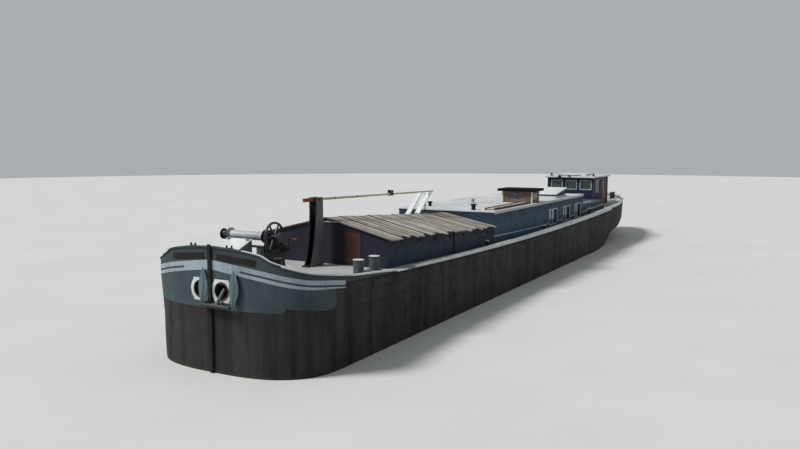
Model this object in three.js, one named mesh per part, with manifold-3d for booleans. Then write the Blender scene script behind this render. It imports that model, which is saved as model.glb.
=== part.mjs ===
import * as THREE from "three";
import { mergeVertices } from "three/addons/utils/BufferGeometryUtils.js";
import Module from "manifold-3d";

// A river barge of the 5.05 m canal type, with a bluff bow, a hold under sloping wooden hatch
// boards, a raised cabin over the rest of the hold, and a low wheelhouse aft.
// Millimetres. +X to the bow, +Y to port, +Z up. The origin is under the middle of the flat bottom.

const LENGTH = 36500; // stem to stern, over the plating
const HALF_BEAM = 2495; // to the plating; the strakes add 30 a side
const DRAUGHT = 620; // light
const GAP = 0.3; // between pieces that touch
const BURIED = 300; // how far a piece that is cut to the deck starts below it

const ANCHOR_REACH = 230; // ahead of the stem
const STERN_CAP_REACH = 25; // behind the stern
const BOW_X = (LENGTH + STERN_CAP_REACH - ANCHOR_REACH) / 2;
const at = (aft) => BOW_X - aft; // a distance aft of the stem, as X
const above = (height) => DRAUGHT + height; // a height above the light waterline, as Z

const wasm = await Module();
wasm.setup();

// Solids

function solid(geometry) {
  const bare = geometry.clone();
  bare.deleteAttribute("normal");
  bare.deleteAttribute("uv");
  const merged = mergeVertices(bare, 1e-3);
  const triangles = new Uint32Array(merged.index.array);
  const vertProperties = new Float32Array(merged.attributes.position.array);
  const make = (triVerts) => new wasm.Manifold(new wasm.Mesh({ numProp: 3, vertProperties, triVerts }));
  const made = make(triangles);
  return made.volume() > 0 ? made : make(triangles.reverse());
}

function box([x0, x1], [y0, y1], [z0, z1]) {
  const g = new THREE.BoxGeometry(Math.abs(x1 - x0), Math.abs(y1 - y0), Math.abs(z1 - z0));
  return solid(g.translate((x0 + x1) / 2, (y0 + y1) / 2, (z0 + z1) / 2));
}

// A cylinder or cone between two points.
function rod(from, to, radius, { endRadius = radius, sides = 12 } = {}) {
  const a = new THREE.Vector3(...from);
  const b = new THREE.Vector3(...to);
  const along = b.clone().sub(a);
  const g = new THREE.CylinderGeometry(endRadius, radius, along.length(), sides);
  const up = new THREE.Vector3(0, 1, 0);
  const turn = new THREE.Quaternion().setFromUnitVectors(up, along.clone().normalize());
  const middle = a.add(b).multiplyScalar(0.5);
  return solid(g.applyQuaternion(turn).translate(middle.x, middle.y, middle.z));
}

// A cylinder whose axis is along Y.
const disc = (x, [y0, y1], z, radius, sides = 12) => rod([x, y0, z], [x, y1, z], radius, { sides });

// An outline in the XZ plane, carried across from y0 to y1.
function acrossXZ(outline, [y0, y1]) {
  const shape = new THREE.Shape(outline.map(([x, z]) => new THREE.Vector2(x, z)));
  const g = new THREE.ExtrudeGeometry(shape, { depth: Math.abs(y1 - y0), bevelEnabled: false });
  return solid(g.rotateX(Math.PI / 2).translate(0, Math.max(y0, y1), 0));
}

// An outline in the YZ plane, carried along from x0 to x1.
function alongYZ(outline, [x0, x1]) {
  const shape = new THREE.Shape(outline.map(([y, z]) => new THREE.Vector2(y, z)));
  const g = new THREE.ExtrudeGeometry(shape, { depth: Math.abs(x1 - x0), bevelEnabled: false });
  g.rotateX(Math.PI / 2).rotateZ(Math.PI / 2);
  return solid(g.translate(Math.min(x0, x1), 0, 0));
}

const join = (...shapes) => shapes.reduce((a, b) => a.add(b));
const cut = (shape, ...tools) => tools.reduce((a, b) => a.subtract(b), shape);

// Materials

const finish = (color, roughness = 0.6, metalness = 0.1) =>
  new THREE.MeshStandardMaterial({ color, roughness, metalness });
const MATERIALS = {
  tar: finish(0x2b2b2c, 0.75),
  grey: finish(0x3f4a4e, 0.55),
  white: finish(0xc9ced0, 0.5),
  navy: finish(0x16283f, 0.45),
  roof: finish(0xaeb3b8, 0.7),
  iron: finish(0x232729, 0.6, 0.4),
  boards: finish(0x9a958a, 0.9, 0),
  varnish: finish(0x6b3a20, 0.4, 0),
  spar: finish(0xb9ab8c, 0.6, 0),
  glass: finish(0x9db3b8, 0.1, 0),
  bronze: finish(0x8a6a3a, 0.4, 0.8),
};

const barge = new THREE.Group();

// Adds a solid to the barge. A pivot is where a turning piece's own origin goes.
function add(name, shape, material, pivot = [0, 0, 0]) {
  const { vertProperties, triVerts } = shape.getMesh();
  const g = new THREE.BufferGeometry();
  g.setAttribute("position", new THREE.BufferAttribute(new Float32Array(vertProperties), 3));
  g.setIndex(new THREE.BufferAttribute(new Uint32Array(triVerts), 1));
  g.translate(-pivot[0], -pivot[1], -pivot[2]);
  g.computeVertexNormals();
  const mesh = new THREE.Mesh(g, MATERIALS[material]);
  mesh.name = name;
  mesh.position.set(...pivot);
  barge.add(mesh);
}

const SIDES = [
  { side: "port", sign: 1 },
  { side: "starboard", sign: -1 },
];

// Hull

const BOW_STEPS = 12;
const STERN_STEPS = 12;
const MIDDLE_STEPS = 8;

// Each level is half an outline seen from above: z from the bottom, half breadth, and for each
// end how far aft of the stem it is, the length of its rounding, and how full that rounding is
// (2 is an ellipse).
const HULL_LEVELS = [
  { z: 0, half: 2160, bow: 330, bowLen: 2600, bowFull: 2.5, stern: 32000, sternLen: 8800, sternFull: 1.6 },
  { z: 110, half: 2370, bow: 130, bowLen: 2400, bowFull: 2.6, stern: 32300, sternLen: 8600, sternFull: 1.6 },
  { z: 320, half: 2480, bow: 40, bowLen: 2150, bowFull: 2.75, stern: 32700, sternLen: 8400, sternFull: 1.65 },
  { z: 620, half: 2495, bow: 0, bowLen: 1950, bowFull: 2.85, stern: 33100, sternLen: 8200, sternFull: 1.7 },
  { z: 1180, half: 2495, bow: 0, bowLen: 1800, bowFull: 2.8, stern: 33700, sternLen: 7400, sternFull: 1.8 },
  { z: 1420, half: 2495, bow: 0, bowLen: 1700, bowFull: 2.7, stern: 35700, sternLen: 7600, sternFull: 1.8 },
  { z: 1750, half: 2495, bow: 0, bowLen: 1600, bowFull: 2.6, stern: 36350, sternLen: 7600, sternFull: 1.8 },
];
const DECK_LEVEL = {
  half: HALF_BEAM, bow: 0, bowLen: 1450, bowFull: 2.7, stern: LENGTH, sternLen: 7500, sternFull: 1.84,
};

// The deck is lowest at SHEER_LOW and rises in a parabola to each end.
const SHEER_LOW = 17000; // aft of the stem
const DECK_LOW = 1750; // above the waterline
const SHEER_BOW = 400;
const SHEER_STERN = 450;
function deckZ(x) {
  const aft = BOW_X - x;
  const [rise, run] = aft < SHEER_LOW ? [SHEER_BOW, SHEER_LOW] : [SHEER_STERN, LENGTH - SHEER_LOW];
  return above(DECK_LOW + rise * ((aft - SHEER_LOW) / run) ** 2);
}

// One end's rounding: how far aft or forward of the end, and how far out, for a step round it.
function rounding(step, steps, half, length, full) {
  const turn = (step / steps) * (Math.PI / 2);
  const along = step === steps ? length : length * (1 - Math.cos(turn) ** (2 / full));
  return [along, half * Math.sin(turn) ** (2 / full)];
}

// The port half of a level's outline, from the stern to the stem. The first and last points are
// on the centreline.
function halfOutline({ half, bow, bowLen, bowFull, stern, sternLen, sternFull }) {
  const points = [];
  for (let i = 0; i <= STERN_STEPS; i++) {
    const [along, y] = rounding(i, STERN_STEPS, half, sternLen, sternFull);
    points.push([at(stern - along), y]);
  }
  const [from, to] = [at(stern - sternLen), at(bow + bowLen)];
  for (let i = 1; i < MIDDLE_STEPS; i++) points.push([from + ((to - from) * i) / MIDDLE_STEPS, half]);
  for (let i = BOW_STEPS; i >= 0; i--) {
    const [along, y] = rounding(i, BOW_STEPS, half, bowLen, bowFull);
    points.push([at(bow + along), y]);
  }
  return points;
}

function hullShell() {
  const rings = HULL_LEVELS.map((level) => halfOutline(level).map(([x, y]) => [x, y, level.z]));
  rings.push(halfOutline(DECK_LEVEL).map(([x, y]) => [x, y, deckZ(x)]));
  const steps = rings[0].length;
  const top = rings.length - 1;
  const mirrored = ([x, y, z]) => [x, -y, z];
  const positions = rings.flatMap((ring) => [...ring, ...ring.map(mirrored)]).flat();
  const port = (ring, i) => ring * steps * 2 + i;
  const starboard = (ring, i) => port(ring, i) + steps;
  const faces = [];
  const quad = (a, b, c, d) => faces.push([a, b, c], [a, c, d]);
  for (let i = 0; i + 1 < steps; i++) {
    for (let r = 0; r < top; r++) {
      quad(port(r, i + 1), port(r, i), port(r + 1, i), port(r + 1, i + 1));
      quad(starboard(r, i), starboard(r, i + 1), starboard(r + 1, i + 1), starboard(r + 1, i));
    }
    quad(port(top, i + 1), port(top, i), starboard(top, i), starboard(top, i + 1));
    quad(starboard(0, i + 1), starboard(0, i), port(0, i), port(0, i + 1));
  }
  // Drops the faces that the points on the centreline flatten to nothing.
  const place = (i) => positions.slice(i * 3, i * 3 + 3).map(Math.abs).join();
  const spread = (corners) => new Set(corners.map(place)).size === 3;
  const kept = faces.filter((corners) => spread(corners) || !flat(corners, positions));
  const g = new THREE.BufferGeometry();
  g.setAttribute("position", new THREE.Float32BufferAttribute(positions, 3));
  g.setIndex(kept.flat());
  return solid(g);
}

function flat([a, b, c], positions) {
  const [p, q, r] = [a, b, c].map((i) => new THREE.Vector3().fromArray(positions, i * 3));
  return q.sub(p).cross(r.sub(p)).length() < 1e-3;
}

const SHAFT_Z = 580;
const PROPELLER = { aft: 34100, radius: 440, blades: 4 };
const STOCK = { aft: 34950, radius: 60, foot: 116, head: 1900 };
const SKEG_TOP = 110;

// The after end of the keel: the deadwood, the stern tube and the shoe under the rudder.
function sternGear() {
  const deadwood = box([at(33650), at(31000)], [-70, 70], [0, 1100]);
  const tube = rod([at(33740), 0, SHAFT_Z], [at(31600), 0, SHAFT_Z], 130, { endRadius: 260, sides: 16 });
  const shoe = box([at(35450), at(31900)], [-90, 90], [0, SKEG_TOP]);
  return join(deadwood, tube, shoe);
}

const HAWSE = { y: 330, z: above(1980), radius: 190, depth: 300 };
const hawseHoles = SIDES.map(({ sign }) => {
  const y = sign * HAWSE.y;
  return rod([at(-60), y, HAWSE.z], [at(HAWSE.depth), y, HAWSE.z], HAWSE.radius, { sides: 16 });
});

const WHEELHOUSE = {
  front: 28800, back: 32000, half: 1320, wall: 60, floor: above(1450), wallTop: above(3590),
};
const wheelhouseRoom = {
  x: [at(WHEELHOUSE.back - WHEELHOUSE.wall), at(WHEELHOUSE.front + WHEELHOUSE.wall)],
  y: [-WHEELHOUSE.half + WHEELHOUSE.wall, WHEELHOUSE.half - WHEELHOUSE.wall],
};
const wheelhouseWell = box(wheelhouseRoom.x, wheelhouseRoom.y, [WHEELHOUSE.floor, above(2600)]);
const stockHole = rod([at(STOCK.aft), 0, 1000], [at(STOCK.aft), 0, STOCK.head + 10], STOCK.radius + 6);
const shaftHole = rod([at(33800), 0, SHAFT_Z], [at(33500), 0, SHAFT_Z], 66);

const STRAKE = { from: 3200, to: 29000, drop: 60, height: 190, proud: 30 };
function strakes() {
  const run = [at(STRAKE.to), at(STRAKE.from)];
  const stations = Array.from({ length: 13 }, (_, i) => run[0] + ((run[1] - run[0]) * i) / 12);
  const top = stations.map((x) => [x, deckZ(x) - STRAKE.drop]);
  const bottom = [...top].reverse().map(([x, z]) => [x, z - STRAKE.height]);
  return SIDES.map(({ sign }) =>
    acrossXZ([...bottom, ...top], [sign * (HALF_BEAM - 40), sign * (HALF_BEAM + STRAKE.proud)]));
}

const steel = join(hullShell(), sternGear(), ...strakes());
const hull = cut(steel, ...hawseHoles, wheelhouseWell, stockHole, shaftHole);
const seat = (shape) => cut(shape, hull.translate([0, 0, GAP])); // stands a piece on the deck
add("hull", hull, "tar");

// Rails that follow the edge of the deck

// The edge of the deck along the port side, from the bow or the stern, as points with their
// outward normal and their distance round the edge.
function deckEdge(end, reach) {
  const half = halfOutline(DECK_LEVEL);
  const line = end === "bow" ? [...half].reverse() : half;
  const points = [{ x: line[0][0], y: 0, run: 0 }];
  for (let i = 1; i < line.length; i++) {
    const [x, y] = line[i];
    const last = points[i - 1];
    const step = Math.hypot(x - last.x, y - last.y);
    const share = Math.min(1, (reach - last.run) / step);
    const [dx, dy] = [(x - last.x) * share, (y - last.y) * share];
    points.push({ x: last.x + dx, y: last.y + dy, run: last.run + step * share });
    if (share < 1) break;
  }
  return withNormals(points, end === "bow" ? 1 : -1);
}

function withNormals(points, forward) {
  return points.map((p, i) => {
    const before = points[Math.max(i - 1, 0)];
    const after = points[Math.min(i + 1, points.length - 1)];
    const [dx, dy] = p.y === 0 ? [0, 1] : [after.x - before.x, after.y - before.y];
    const size = Math.hypot(dx, dy) * forward;
    return { ...p, nx: dy / size, ny: -dx / size };
  });
}

// A strip with a four-sided section along an edge, on one side, or from one side round the end to
// the other. Outer and inner are distances out of the edge.
function strip(points, { outer, inner, bottom, top, bothSides = true }) {
  const other = points.slice(1).map((p) => ({ ...p, y: -p.y, ny: -p.ny }));
  const path = bothSides ? [...other.reverse(), ...points] : points;
  const positions = path.flatMap((p) => {
    const [ox, oy] = [p.x + p.nx * outer, p.y + p.ny * outer];
    const [ix, iy] = [p.x + p.nx * inner, p.y + p.ny * inner];
    return [ox, oy, bottom(p, ox), ox, oy, top(p, ox), ix, iy, top(p, ix), ix, iy, bottom(p, ix)];
  });
  const faces = [];
  for (let i = 0; i + 1 < path.length; i++) {
    for (let k = 0; k < 4; k++) {
      const [a, b] = [i * 4 + k, i * 4 + ((k + 1) % 4)];
      faces.push(a, b, b + 4, a, b + 4, a + 4);
    }
  }
  const last = (path.length - 1) * 4;
  faces.push(0, 2, 1, 0, 3, 2, last, last + 1, last + 2, last, last + 2, last + 3);
  const g = new THREE.BufferGeometry();
  g.setAttribute("position", new THREE.Float32BufferAttribute(positions, 3));
  g.setIndex(faces);
  return solid(g);
}

// Reads a height from a table of [distance, height] rows.
function fromTable(table, distance) {
  const i = Math.max(1, table.findIndex(([d]) => d >= distance));
  const [d0, h0] = table[i - 1];
  const [d1, h1] = table[i];
  return h0 + ((h1 - h0) * (distance - d0)) / (d1 - d0);
}

const BULWARK_WALL = 50;
const CAP = { width: 100, height: 45 };
// distance round the deck's edge from the stem, and the rail's height above the waterline
const BOW_RAIL = [
  [0, 3020], [720, 2980], [1380, 2875], [1650, 2735], [2000, 2630], [2520, 2490], [3140, 2380],
  [3760, 2280], [4420, 2195], [5010, 2150], [6700, 2000],
];
const BOW_REACH = 6300;
// distance round the deck's edge from the sternmost point, and the rail's height above the deck
const STERN_RAIL = [[0, 210], [9000, 200]];
const STERN_REACH = 8900;

function bulwark(end, reach, railZ, material) {
  const line = deckEdge(end, reach);
  const wall = strip(line, {
    outer: 0, inner: -BULWARK_WALL, bottom: (p, x) => deckZ(x) + GAP, top: (p) => railZ(p) - CAP.height,
  });
  const over = (CAP.width - BULWARK_WALL) / 2;
  const cap = strip(line, {
    outer: over, inner: -BULWARK_WALL - over, bottom: (p) => railZ(p) - CAP.height + GAP, top: railZ,
  });
  add(`${end}_bulwark`, cut(seat(wall), cap.translate([0, 0, -GAP])), material);
  add(`${end}_cap_rail`, cap, "white");
}
bulwark("bow", BOW_REACH, (p) => above(fromTable(BOW_RAIL, p.run)), "grey");
bulwark("stern", STERN_REACH, (p) => deckZ(p.x) + fromTable(STERN_RAIL, p.run), "white");

// The white toe rail along each side, from one bulwark to the other. It grows aft.
const TOE_RAIL = { from: 5500, to: 28340, width: 90, low: 70, high: 190, highAt: 20000 };
function toeRail(sign) {
  const { from, to, width, low, high, highAt } = TOE_RAIL;
  const stations = Array.from({ length: 13 }, (_, i) => from + ((to - from) * i) / 12);
  const line = stations.map((aft) => ({ x: at(aft), y: sign * HALF_BEAM, run: aft }));
  const tall = (p) => low + (high - low) * Math.min(1, (p.run - from) / (highAt - from));
  return seat(strip(withNormals(line, sign), {
    outer: -2,
    inner: -width,
    bottom: (p, x) => deckZ(x) - 40,
    top: (p, x) => deckZ(x) + tall(p),
    bothSides: false,
  }));
}
for (const { side, sign } of SIDES) add(`toe_rail_${side}`, toeRail(sign), "white");

// Stem and anchor

const STEM = { width: 90, proud: 55, foot: 380, top: above(3060), capFrom: above(2960) };
function stemBar() {
  const bar = box([at(60), at(-STEM.proud)], [-STEM.width / 2, STEM.width / 2], [STEM.foot, STEM.top]);
  const bowPlate = box([at(300), at(0) + GAP], [-200, 200], [above(1500), STEM.capFrom]);
  const capSpace = box([at(300), at(-30) + GAP], [-200, 200], [STEM.capFrom - 1, STEM.top + 10]);
  return cut(bar, hull.translate([GAP, 0, 0]), bowPlate, capSpace);
}
add("stem_bar", stemBar(), "iron");

// The stockless anchor hangs under the port hawse hole, its crown across the stem.
const ANCHOR = { y: 270, back: at(-62), crownZ: above(1650), crownHalf: 450, spread: 470 };
const LEAF = { half: 145, tall: 850 };
function fluke(y) {
  const [w, h] = [LEAF.half, LEAF.tall];
  const leaf = [[-0.55, -0.04], [0.55, -0.04], [1, 0.35], [0.8, 0.7], [0, 1], [-0.8, 0.7], [-1, 0.35]];
  const outline = leaf.map(([across, up]) => [y + across * w, ANCHOR.crownZ + up * h]);
  return alongYZ(outline, [at(0) + 2, at(0) + 72]);
}
function anchor() {
  const { y, back, crownZ, crownHalf, spread } = ANCHOR;
  const crown = box([back, at(-ANCHOR_REACH)], [y - crownHalf, y + crownHalf], [crownZ - 65, crownZ + 65]);
  const shankHead = [at(80), HAWSE.y + 15, HAWSE.z + 40];
  const shank = rod([at(-150), y, crownZ], shankHead, 42, { sides: 8 });
  return cut(join(crown, fluke(y - spread), fluke(y + spread), shank), hull.translate([GAP, 0, 0]));
}
add("anchor", anchor(), "grey");

// Forepeak companion: a steel hood with a sloping lid

const HOOD = { y: -350, half: 390, front: 950, back: 1430, lip: above(2800), top: above(3000), wall: 30 };
const hoodSlope = (HOOD.top - HOOD.lip) / (HOOD.back - HOOD.front);
const hoodZ = (aft) => HOOD.lip + (aft - HOOD.front) * hoodSlope;
function hood() {
  const { y, half, front, back, lip, top, wall } = HOOD;
  const foot = deckZ(at(front)) - BURIED;
  const span = (margin) => [y - half + margin, y + half - margin];
  const outer = [[at(back), foot], [at(front), foot], [at(front), lip], [at(back), top]];
  const inner = [
    [at(back - wall), foot], [at(front + wall), foot],
    [at(front + wall), hoodZ(front + wall) + 20], [at(back - wall - 40), hoodZ(back - wall - 40) + 20],
    [at(back - wall - 40), top - wall - 20], [at(back - wall), top - wall - 20],
  ];
  return seat(cut(acrossXZ(outer, span(0)), acrossXZ(inner, span(wall))));
}
add("forepeak_hood", hood(), "roof");

const LID = { clear: 6, thick: 30, from: 930, to: 1415, over: 15 };
function hoodLid() {
  const lift = (aft, k) => [at(aft), hoodZ(aft) + k];
  const { clear, thick, from, to, over } = LID;
  const outline = [lift(to, clear), lift(from, clear), lift(from, clear + thick), lift(to, clear + thick)];
  return acrossXZ(outline, [HOOD.y - HOOD.half - over, HOOD.y + HOOD.half + over]);
}
add("forepeak_lid", hoodLid(), "white", [at(LID.to), HOOD.y, hoodZ(LID.to) + LID.clear + LID.thick]);

// Anchor windlass: a barrel and a large wheel on one shaft, turned by a pinion with cranks

const WINDLASS = { x: at(1730), z: above(3070), cheeks: [380, -980], cheekHalf: 20, shaft: 48 };
const BIG_WHEEL = { y: 500, radius: 385, rim: 55, wide: 60 };
const PINION = { x: WINDLASS.x - 390, z: WINDLASS.z - 335, radius: 115, shaft: 34, ends: [-1160, 670] };
const BRAKE_WHEEL = { y: 100, radius: 300 };

// A spoked wheel on the Y axis.
function spokedWheel({ radius, rim, wide, spokes = 6, hub = 80 }) {
  const tyre = disc(0, [-wide / 2, wide / 2], 0, radius, 24);
  const ring = cut(tyre, disc(0, [-wide, wide], 0, radius - rim, 24));
  const arms = Array.from({ length: spokes }, (_, i) =>
    box([0, radius - rim / 2], [-15, 15], [-20, 20]).rotate([0, (i * 360) / spokes, 0]));
  return join(ring, ...arms, disc(0, [-wide * 0.6, wide * 0.6], 0, hub, 12));
}

function windlassFrame() {
  const { x, z, cheeks, cheekHalf, shaft } = WINDLASS;
  const foot = deckZ(x) - BURIED;
  const outline = [
    [x - 620, foot], [x + 240, foot], [x + 130, z + 120], [x - 120, z + 120],
    [PINION.x - 90, PINION.z + 90],
  ];
  const plates = cheeks.map((y) => acrossXZ(outline, [y - cheekHalf, y + cheekHalf]));
  const ties = [[x - 600, x - 520], [x + 130, x + 210]].map((xs) => box(xs, cheeks, [foot, above(2230)]));
  const holes = [
    disc(x, [-1100, 600], z, shaft + 4),
    disc(PINION.x, [-1100, 600], PINION.z, PINION.shaft + 4),
  ];
  return seat(cut(join(...plates, ...ties), ...holes));
}
add("windlass_frame", windlassFrame(), "iron");

// where each cylinder of the drum shaft starts and ends, its radius
const DRUM_STEPS = [
  { y: [-1180, 730], radius: WINDLASS.shaft },
  { y: [-900, 200], radius: 110 },
  { y: [-940, -900], radius: 170 },
  { y: [200, 235], radius: 170 },
  { y: [235, 300], radius: 120 },
  { y: [300, 335], radius: 170 },
  { y: [570, 700], radius: 95 },
  { y: [700, 730], radius: 140 },
  { y: [-1150, -1020], radius: 95 },
  { y: [-1180, -1150], radius: 140 },
];
function windlassDrum() {
  const { x, z } = WINDLASS;
  const steps = DRUM_STEPS.map(({ y, radius }) => disc(x, y, z, radius));
  return join(...steps, spokedWheel(BIG_WHEEL).translate([x, BIG_WHEEL.y, z]));
}
add("windlass_drum", windlassDrum(), "iron", [WINDLASS.x, 0, WINDLASS.z]);

const CRANK = { throw: 260, arm: 25, handle: 230 };
function windlassPinion() {
  const { x, z, radius, shaft, ends } = PINION;
  const cranks = ends.flatMap((end, i) => {
    const [inward, up] = i ? [-1, 1] : [1, -1];
    const plane = [end + inward * 30, end];
    return [
      box([x - CRANK.arm, x + CRANK.arm], plane, [z, z + up * (CRANK.throw + CRANK.arm)]),
      disc(x, [end + inward * 15, end - inward * CRANK.handle], z + up * CRANK.throw, 20, 8),
    ];
  });
  const brake = spokedWheel({ ...BRAKE_WHEEL, rim: 45, wide: 50, hub: 60 });
  return join(
    disc(x, ends, z, shaft, 12),
    disc(x, [BIG_WHEEL.y - 30, BIG_WHEEL.y + 30], z, radius),
    brake.translate([x, BRAKE_WHEEL.y, z]),
    ...cranks,
  );
}
add("windlass_pinion", windlassPinion(), "iron", [PINION.x, 0, PINION.z]);

// Bollards: one or two posts on a foot plate, on each side

const BOLLARDS = [
  { name: "tow_bollard", aft: 1020, y: 1180, spread: 0, radius: 100, tall: 580 },
  { name: "bow_bollard", aft: 3740, y: 1950, spread: 395, radius: 140, tall: 410 },
  { name: "quarter_bollard", aft: 24940, y: 2180, spread: 0, radius: 90, tall: 390 },
  { name: "stern_bollard", aft: 34600, y: 1000, spread: 230, radius: 100, tall: 400 },
];
function bollard({ aft, y, spread, radius, tall }) {
  const [x, foot] = [at(aft), deckZ(at(aft))];
  const plate = [spread + radius + 30, radius + 20];
  const posts = (spread ? [-spread, spread] : [0]).flatMap((dx) => [
    rod([x + dx, y, foot - 20], [x + dx, y, foot + tall - 30], radius),
    rod([x + dx, y, foot + tall - 30], [x + dx, y, foot + tall], radius + 14),
  ]);
  const across = [y - plate[1], y + plate[1]];
  return seat(join(box([x - plate[0], x + plate[0]], across, [foot - 60, foot + 35]), ...posts));
}
for (const row of BOLLARDS) {
  for (const { side, sign } of SIDES) {
    add(`${row.name}_${side}`, bollard({ ...row, y: sign * row.y }), "iron");
  }
}

// Mast: a light spar lowered aft, in its tabernacle, with a crutch under it

const PIVOT = { x: at(4200), z: above(3850), radius: 30 };
const MAST = {
  heel: 560, heelHalf: 50, reach: 7300, fall: 135, thick: 36, thin: 25,
  blockAt: 4180, block: [75, 70, -50, 135],
};
const TABERNACLE = { inside: 80, plate: 45, back: 170, flare: 600, neck: 150 };
function tabernacle() {
  const { x, z } = PIVOT;
  const { inside, plate, back, flare, neck } = TABERNACLE;
  const foot = deckZ(x) - BURIED;
  const outline = new THREE.Shape();
  outline.moveTo(x - back, foot);
  outline.lineTo(x + flare, foot);
  outline.quadraticCurveTo(x + neck + 60, foot + 600, x + neck, z - 400);
  outline.lineTo(x + neck, z + 60);
  outline.lineTo(x - back, z + 60);
  const points = outline.getPoints(6).map((p) => [p.x, p.y]);
  const cheeks = SIDES.map(({ sign }) => acrossXZ(points, [sign * inside, sign * (inside + plate)]));
  const across = [-inside - 20, inside + 20];
  const backPlate = box([x - back, x - back + 30], across, [foot, z - 420]);
  const footPlate = box([x - back, x + flare - 40], across, [foot, deckZ(x) + 60]);
  const pinHole = disc(x, [-400, 400], z, PIVOT.radius + 3);
  return seat(cut(join(...cheeks, backPlate, footPlate), pinHole));
}
add("tabernacle", tabernacle(), "grey");

// height of the spar's middle at a distance aft of its pin
const sparZ = (aft) => PIVOT.z - (MAST.fall * aft) / MAST.reach;
function mast() {
  const { x, z, radius } = PIVOT;
  const { heel, heelHalf, reach, fall, thick, thin, blockAt, block } = MAST;
  const [long, wide, low, high] = block;
  const blockZ = [sparZ(blockAt) + low, sparZ(blockAt) + high];
  const pin = TABERNACLE.inside + TABERNACLE.plate + 20;
  return join(
    box([x - 260, x + heel], [-heelHalf, heelHalf], [z - heelHalf, z + heelHalf]),
    rod([x, 0, z], [x - reach, 0, z - fall], thick, { endRadius: thin }),
    disc(x, [-pin, pin], z, radius),
    box([x - blockAt - long, x - blockAt + long], [-wide, wide], blockZ),
  );
}
add("mast", mast(), "spar", [PIVOT.x, 0, PIVOT.z]);

// Forward hold: coamings, a gable with a door, and sloping hatch boards

const HOLD = { from: 4700, to: 12470, half: 2000, wall: 60 };
const HOLD_EAVE = [above(2790), above(2400)]; // under the boards, at the front and the after end
const HOLD_RIDGE = [above(3270), above(2800)];
const holdShare = (x) => (at(HOLD.from) - x) / (HOLD.to - HOLD.from);
const holdZ = ([front, back], x) => front + (back - front) * holdShare(x);
function boardZ(x, y) {
  const ridge = holdZ(HOLD_RIDGE, x);
  return ridge + ((holdZ(HOLD_EAVE, x) - ridge) * Math.abs(y)) / HOLD.half;
}

for (const { side, sign } of SIDES) {
  const [a, b] = [at(HOLD.from), at(HOLD.to)];
  const foot = above(DECK_LOW) - BURIED;
  const profile = [[b, foot], [a, foot], [a, boardZ(a, HOLD.half)], [b, boardZ(b, HOLD.half)]];
  const coaming = acrossXZ(profile, [sign * (HOLD.half - HOLD.wall), sign * HOLD.half]);
  add(`hold_coaming_${side}`, seat(coaming), "navy");
}

const HOLD_DOOR = { y: [600, 1150], foot: above(2030), head: above(2930), thick: 35, clear: 6 };
function holdGable() {
  const x = [at(HOLD.from + HOLD.wall), at(HOLD.from)];
  const inside = HOLD.half - HOLD.wall - GAP;
  const edge = (y) => [y, boardZ(x[0], y) - 2];
  const foot = above(DECK_LOW) - BURIED;
  const outline = [[-inside, foot], [inside, foot], edge(inside), edge(0), edge(-inside)];
  const doorway = box([x[0] - 50, x[1] + 50], HOLD_DOOR.y, [HOLD_DOOR.foot, HOLD_DOOR.head]);
  return seat(cut(alongYZ(outline, x), doorway));
}
add("hold_gable", holdGable(), "navy");

const holdDoorHinge = [at(HOLD.from) + 4, HOLD_DOOR.y[1] - HOLD_DOOR.clear];
function holdDoor() {
  const { y, foot, head, thick, clear } = HOLD_DOOR;
  const face = holdDoorHinge[0];
  return box([face - thick, face], [y[0] + clear, y[1] - clear], [foot + clear, head - clear]);
}
add("hold_door", holdDoor(), "varnish", [...holdDoorHinge, 0]);

// A slab that lies along the slopes of the hatch, from low to high above them.
function onHatch([x0, x1], [y0, y1], [low, high]) {
  const g = new THREE.BoxGeometry(Math.abs(x1 - x0), Math.abs(y1 - y0), 1);
  g.translate((x0 + x1) / 2, (y0 + y1) / 2, 0);
  const place = g.attributes.position;
  for (let i = 0; i < place.count; i++) {
    place.setZ(i, boardZ(place.getX(i), place.getY(i)) + (place.getZ(i) > 0 ? high : low));
  }
  return solid(g);
}

// The hatch boards on one side of the ridge. Every other group of boards lies a little higher and
// reaches further out.
const BOARDS = { thick: 50, groups: 9, lap: 18, over: 200, long: 60, ridgeGap: 20, frontOver: 80 };
const BOARDS_LOW = 2; // above the coamings
const BOARDS_TOP = BOARDS_LOW + BOARDS.lap + BOARDS.thick;
function hatchBoards(sign) {
  const { thick, groups, lap, over, long, ridgeGap, frontOver } = BOARDS;
  const [from, to] = [at(HOLD.from - frontOver), at(HOLD.to)];
  const slabs = Array.from({ length: groups }, (_, i) => {
    const [x1, x0] = [i, i + 1].map((k) => from + ((to - from) * k) / groups);
    const odd = i % 2;
    const out = HOLD.half + over + odd * long;
    const low = BOARDS_LOW + odd * lap;
    return onHatch([x0 - 1, x1], [sign * ridgeGap, sign * out], [low, low + thick]);
  });
  return join(...slabs);
}
for (const { side, sign } of SIDES) add(`hatch_boards_${side}`, hatchBoards(sign), "boards");

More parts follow.
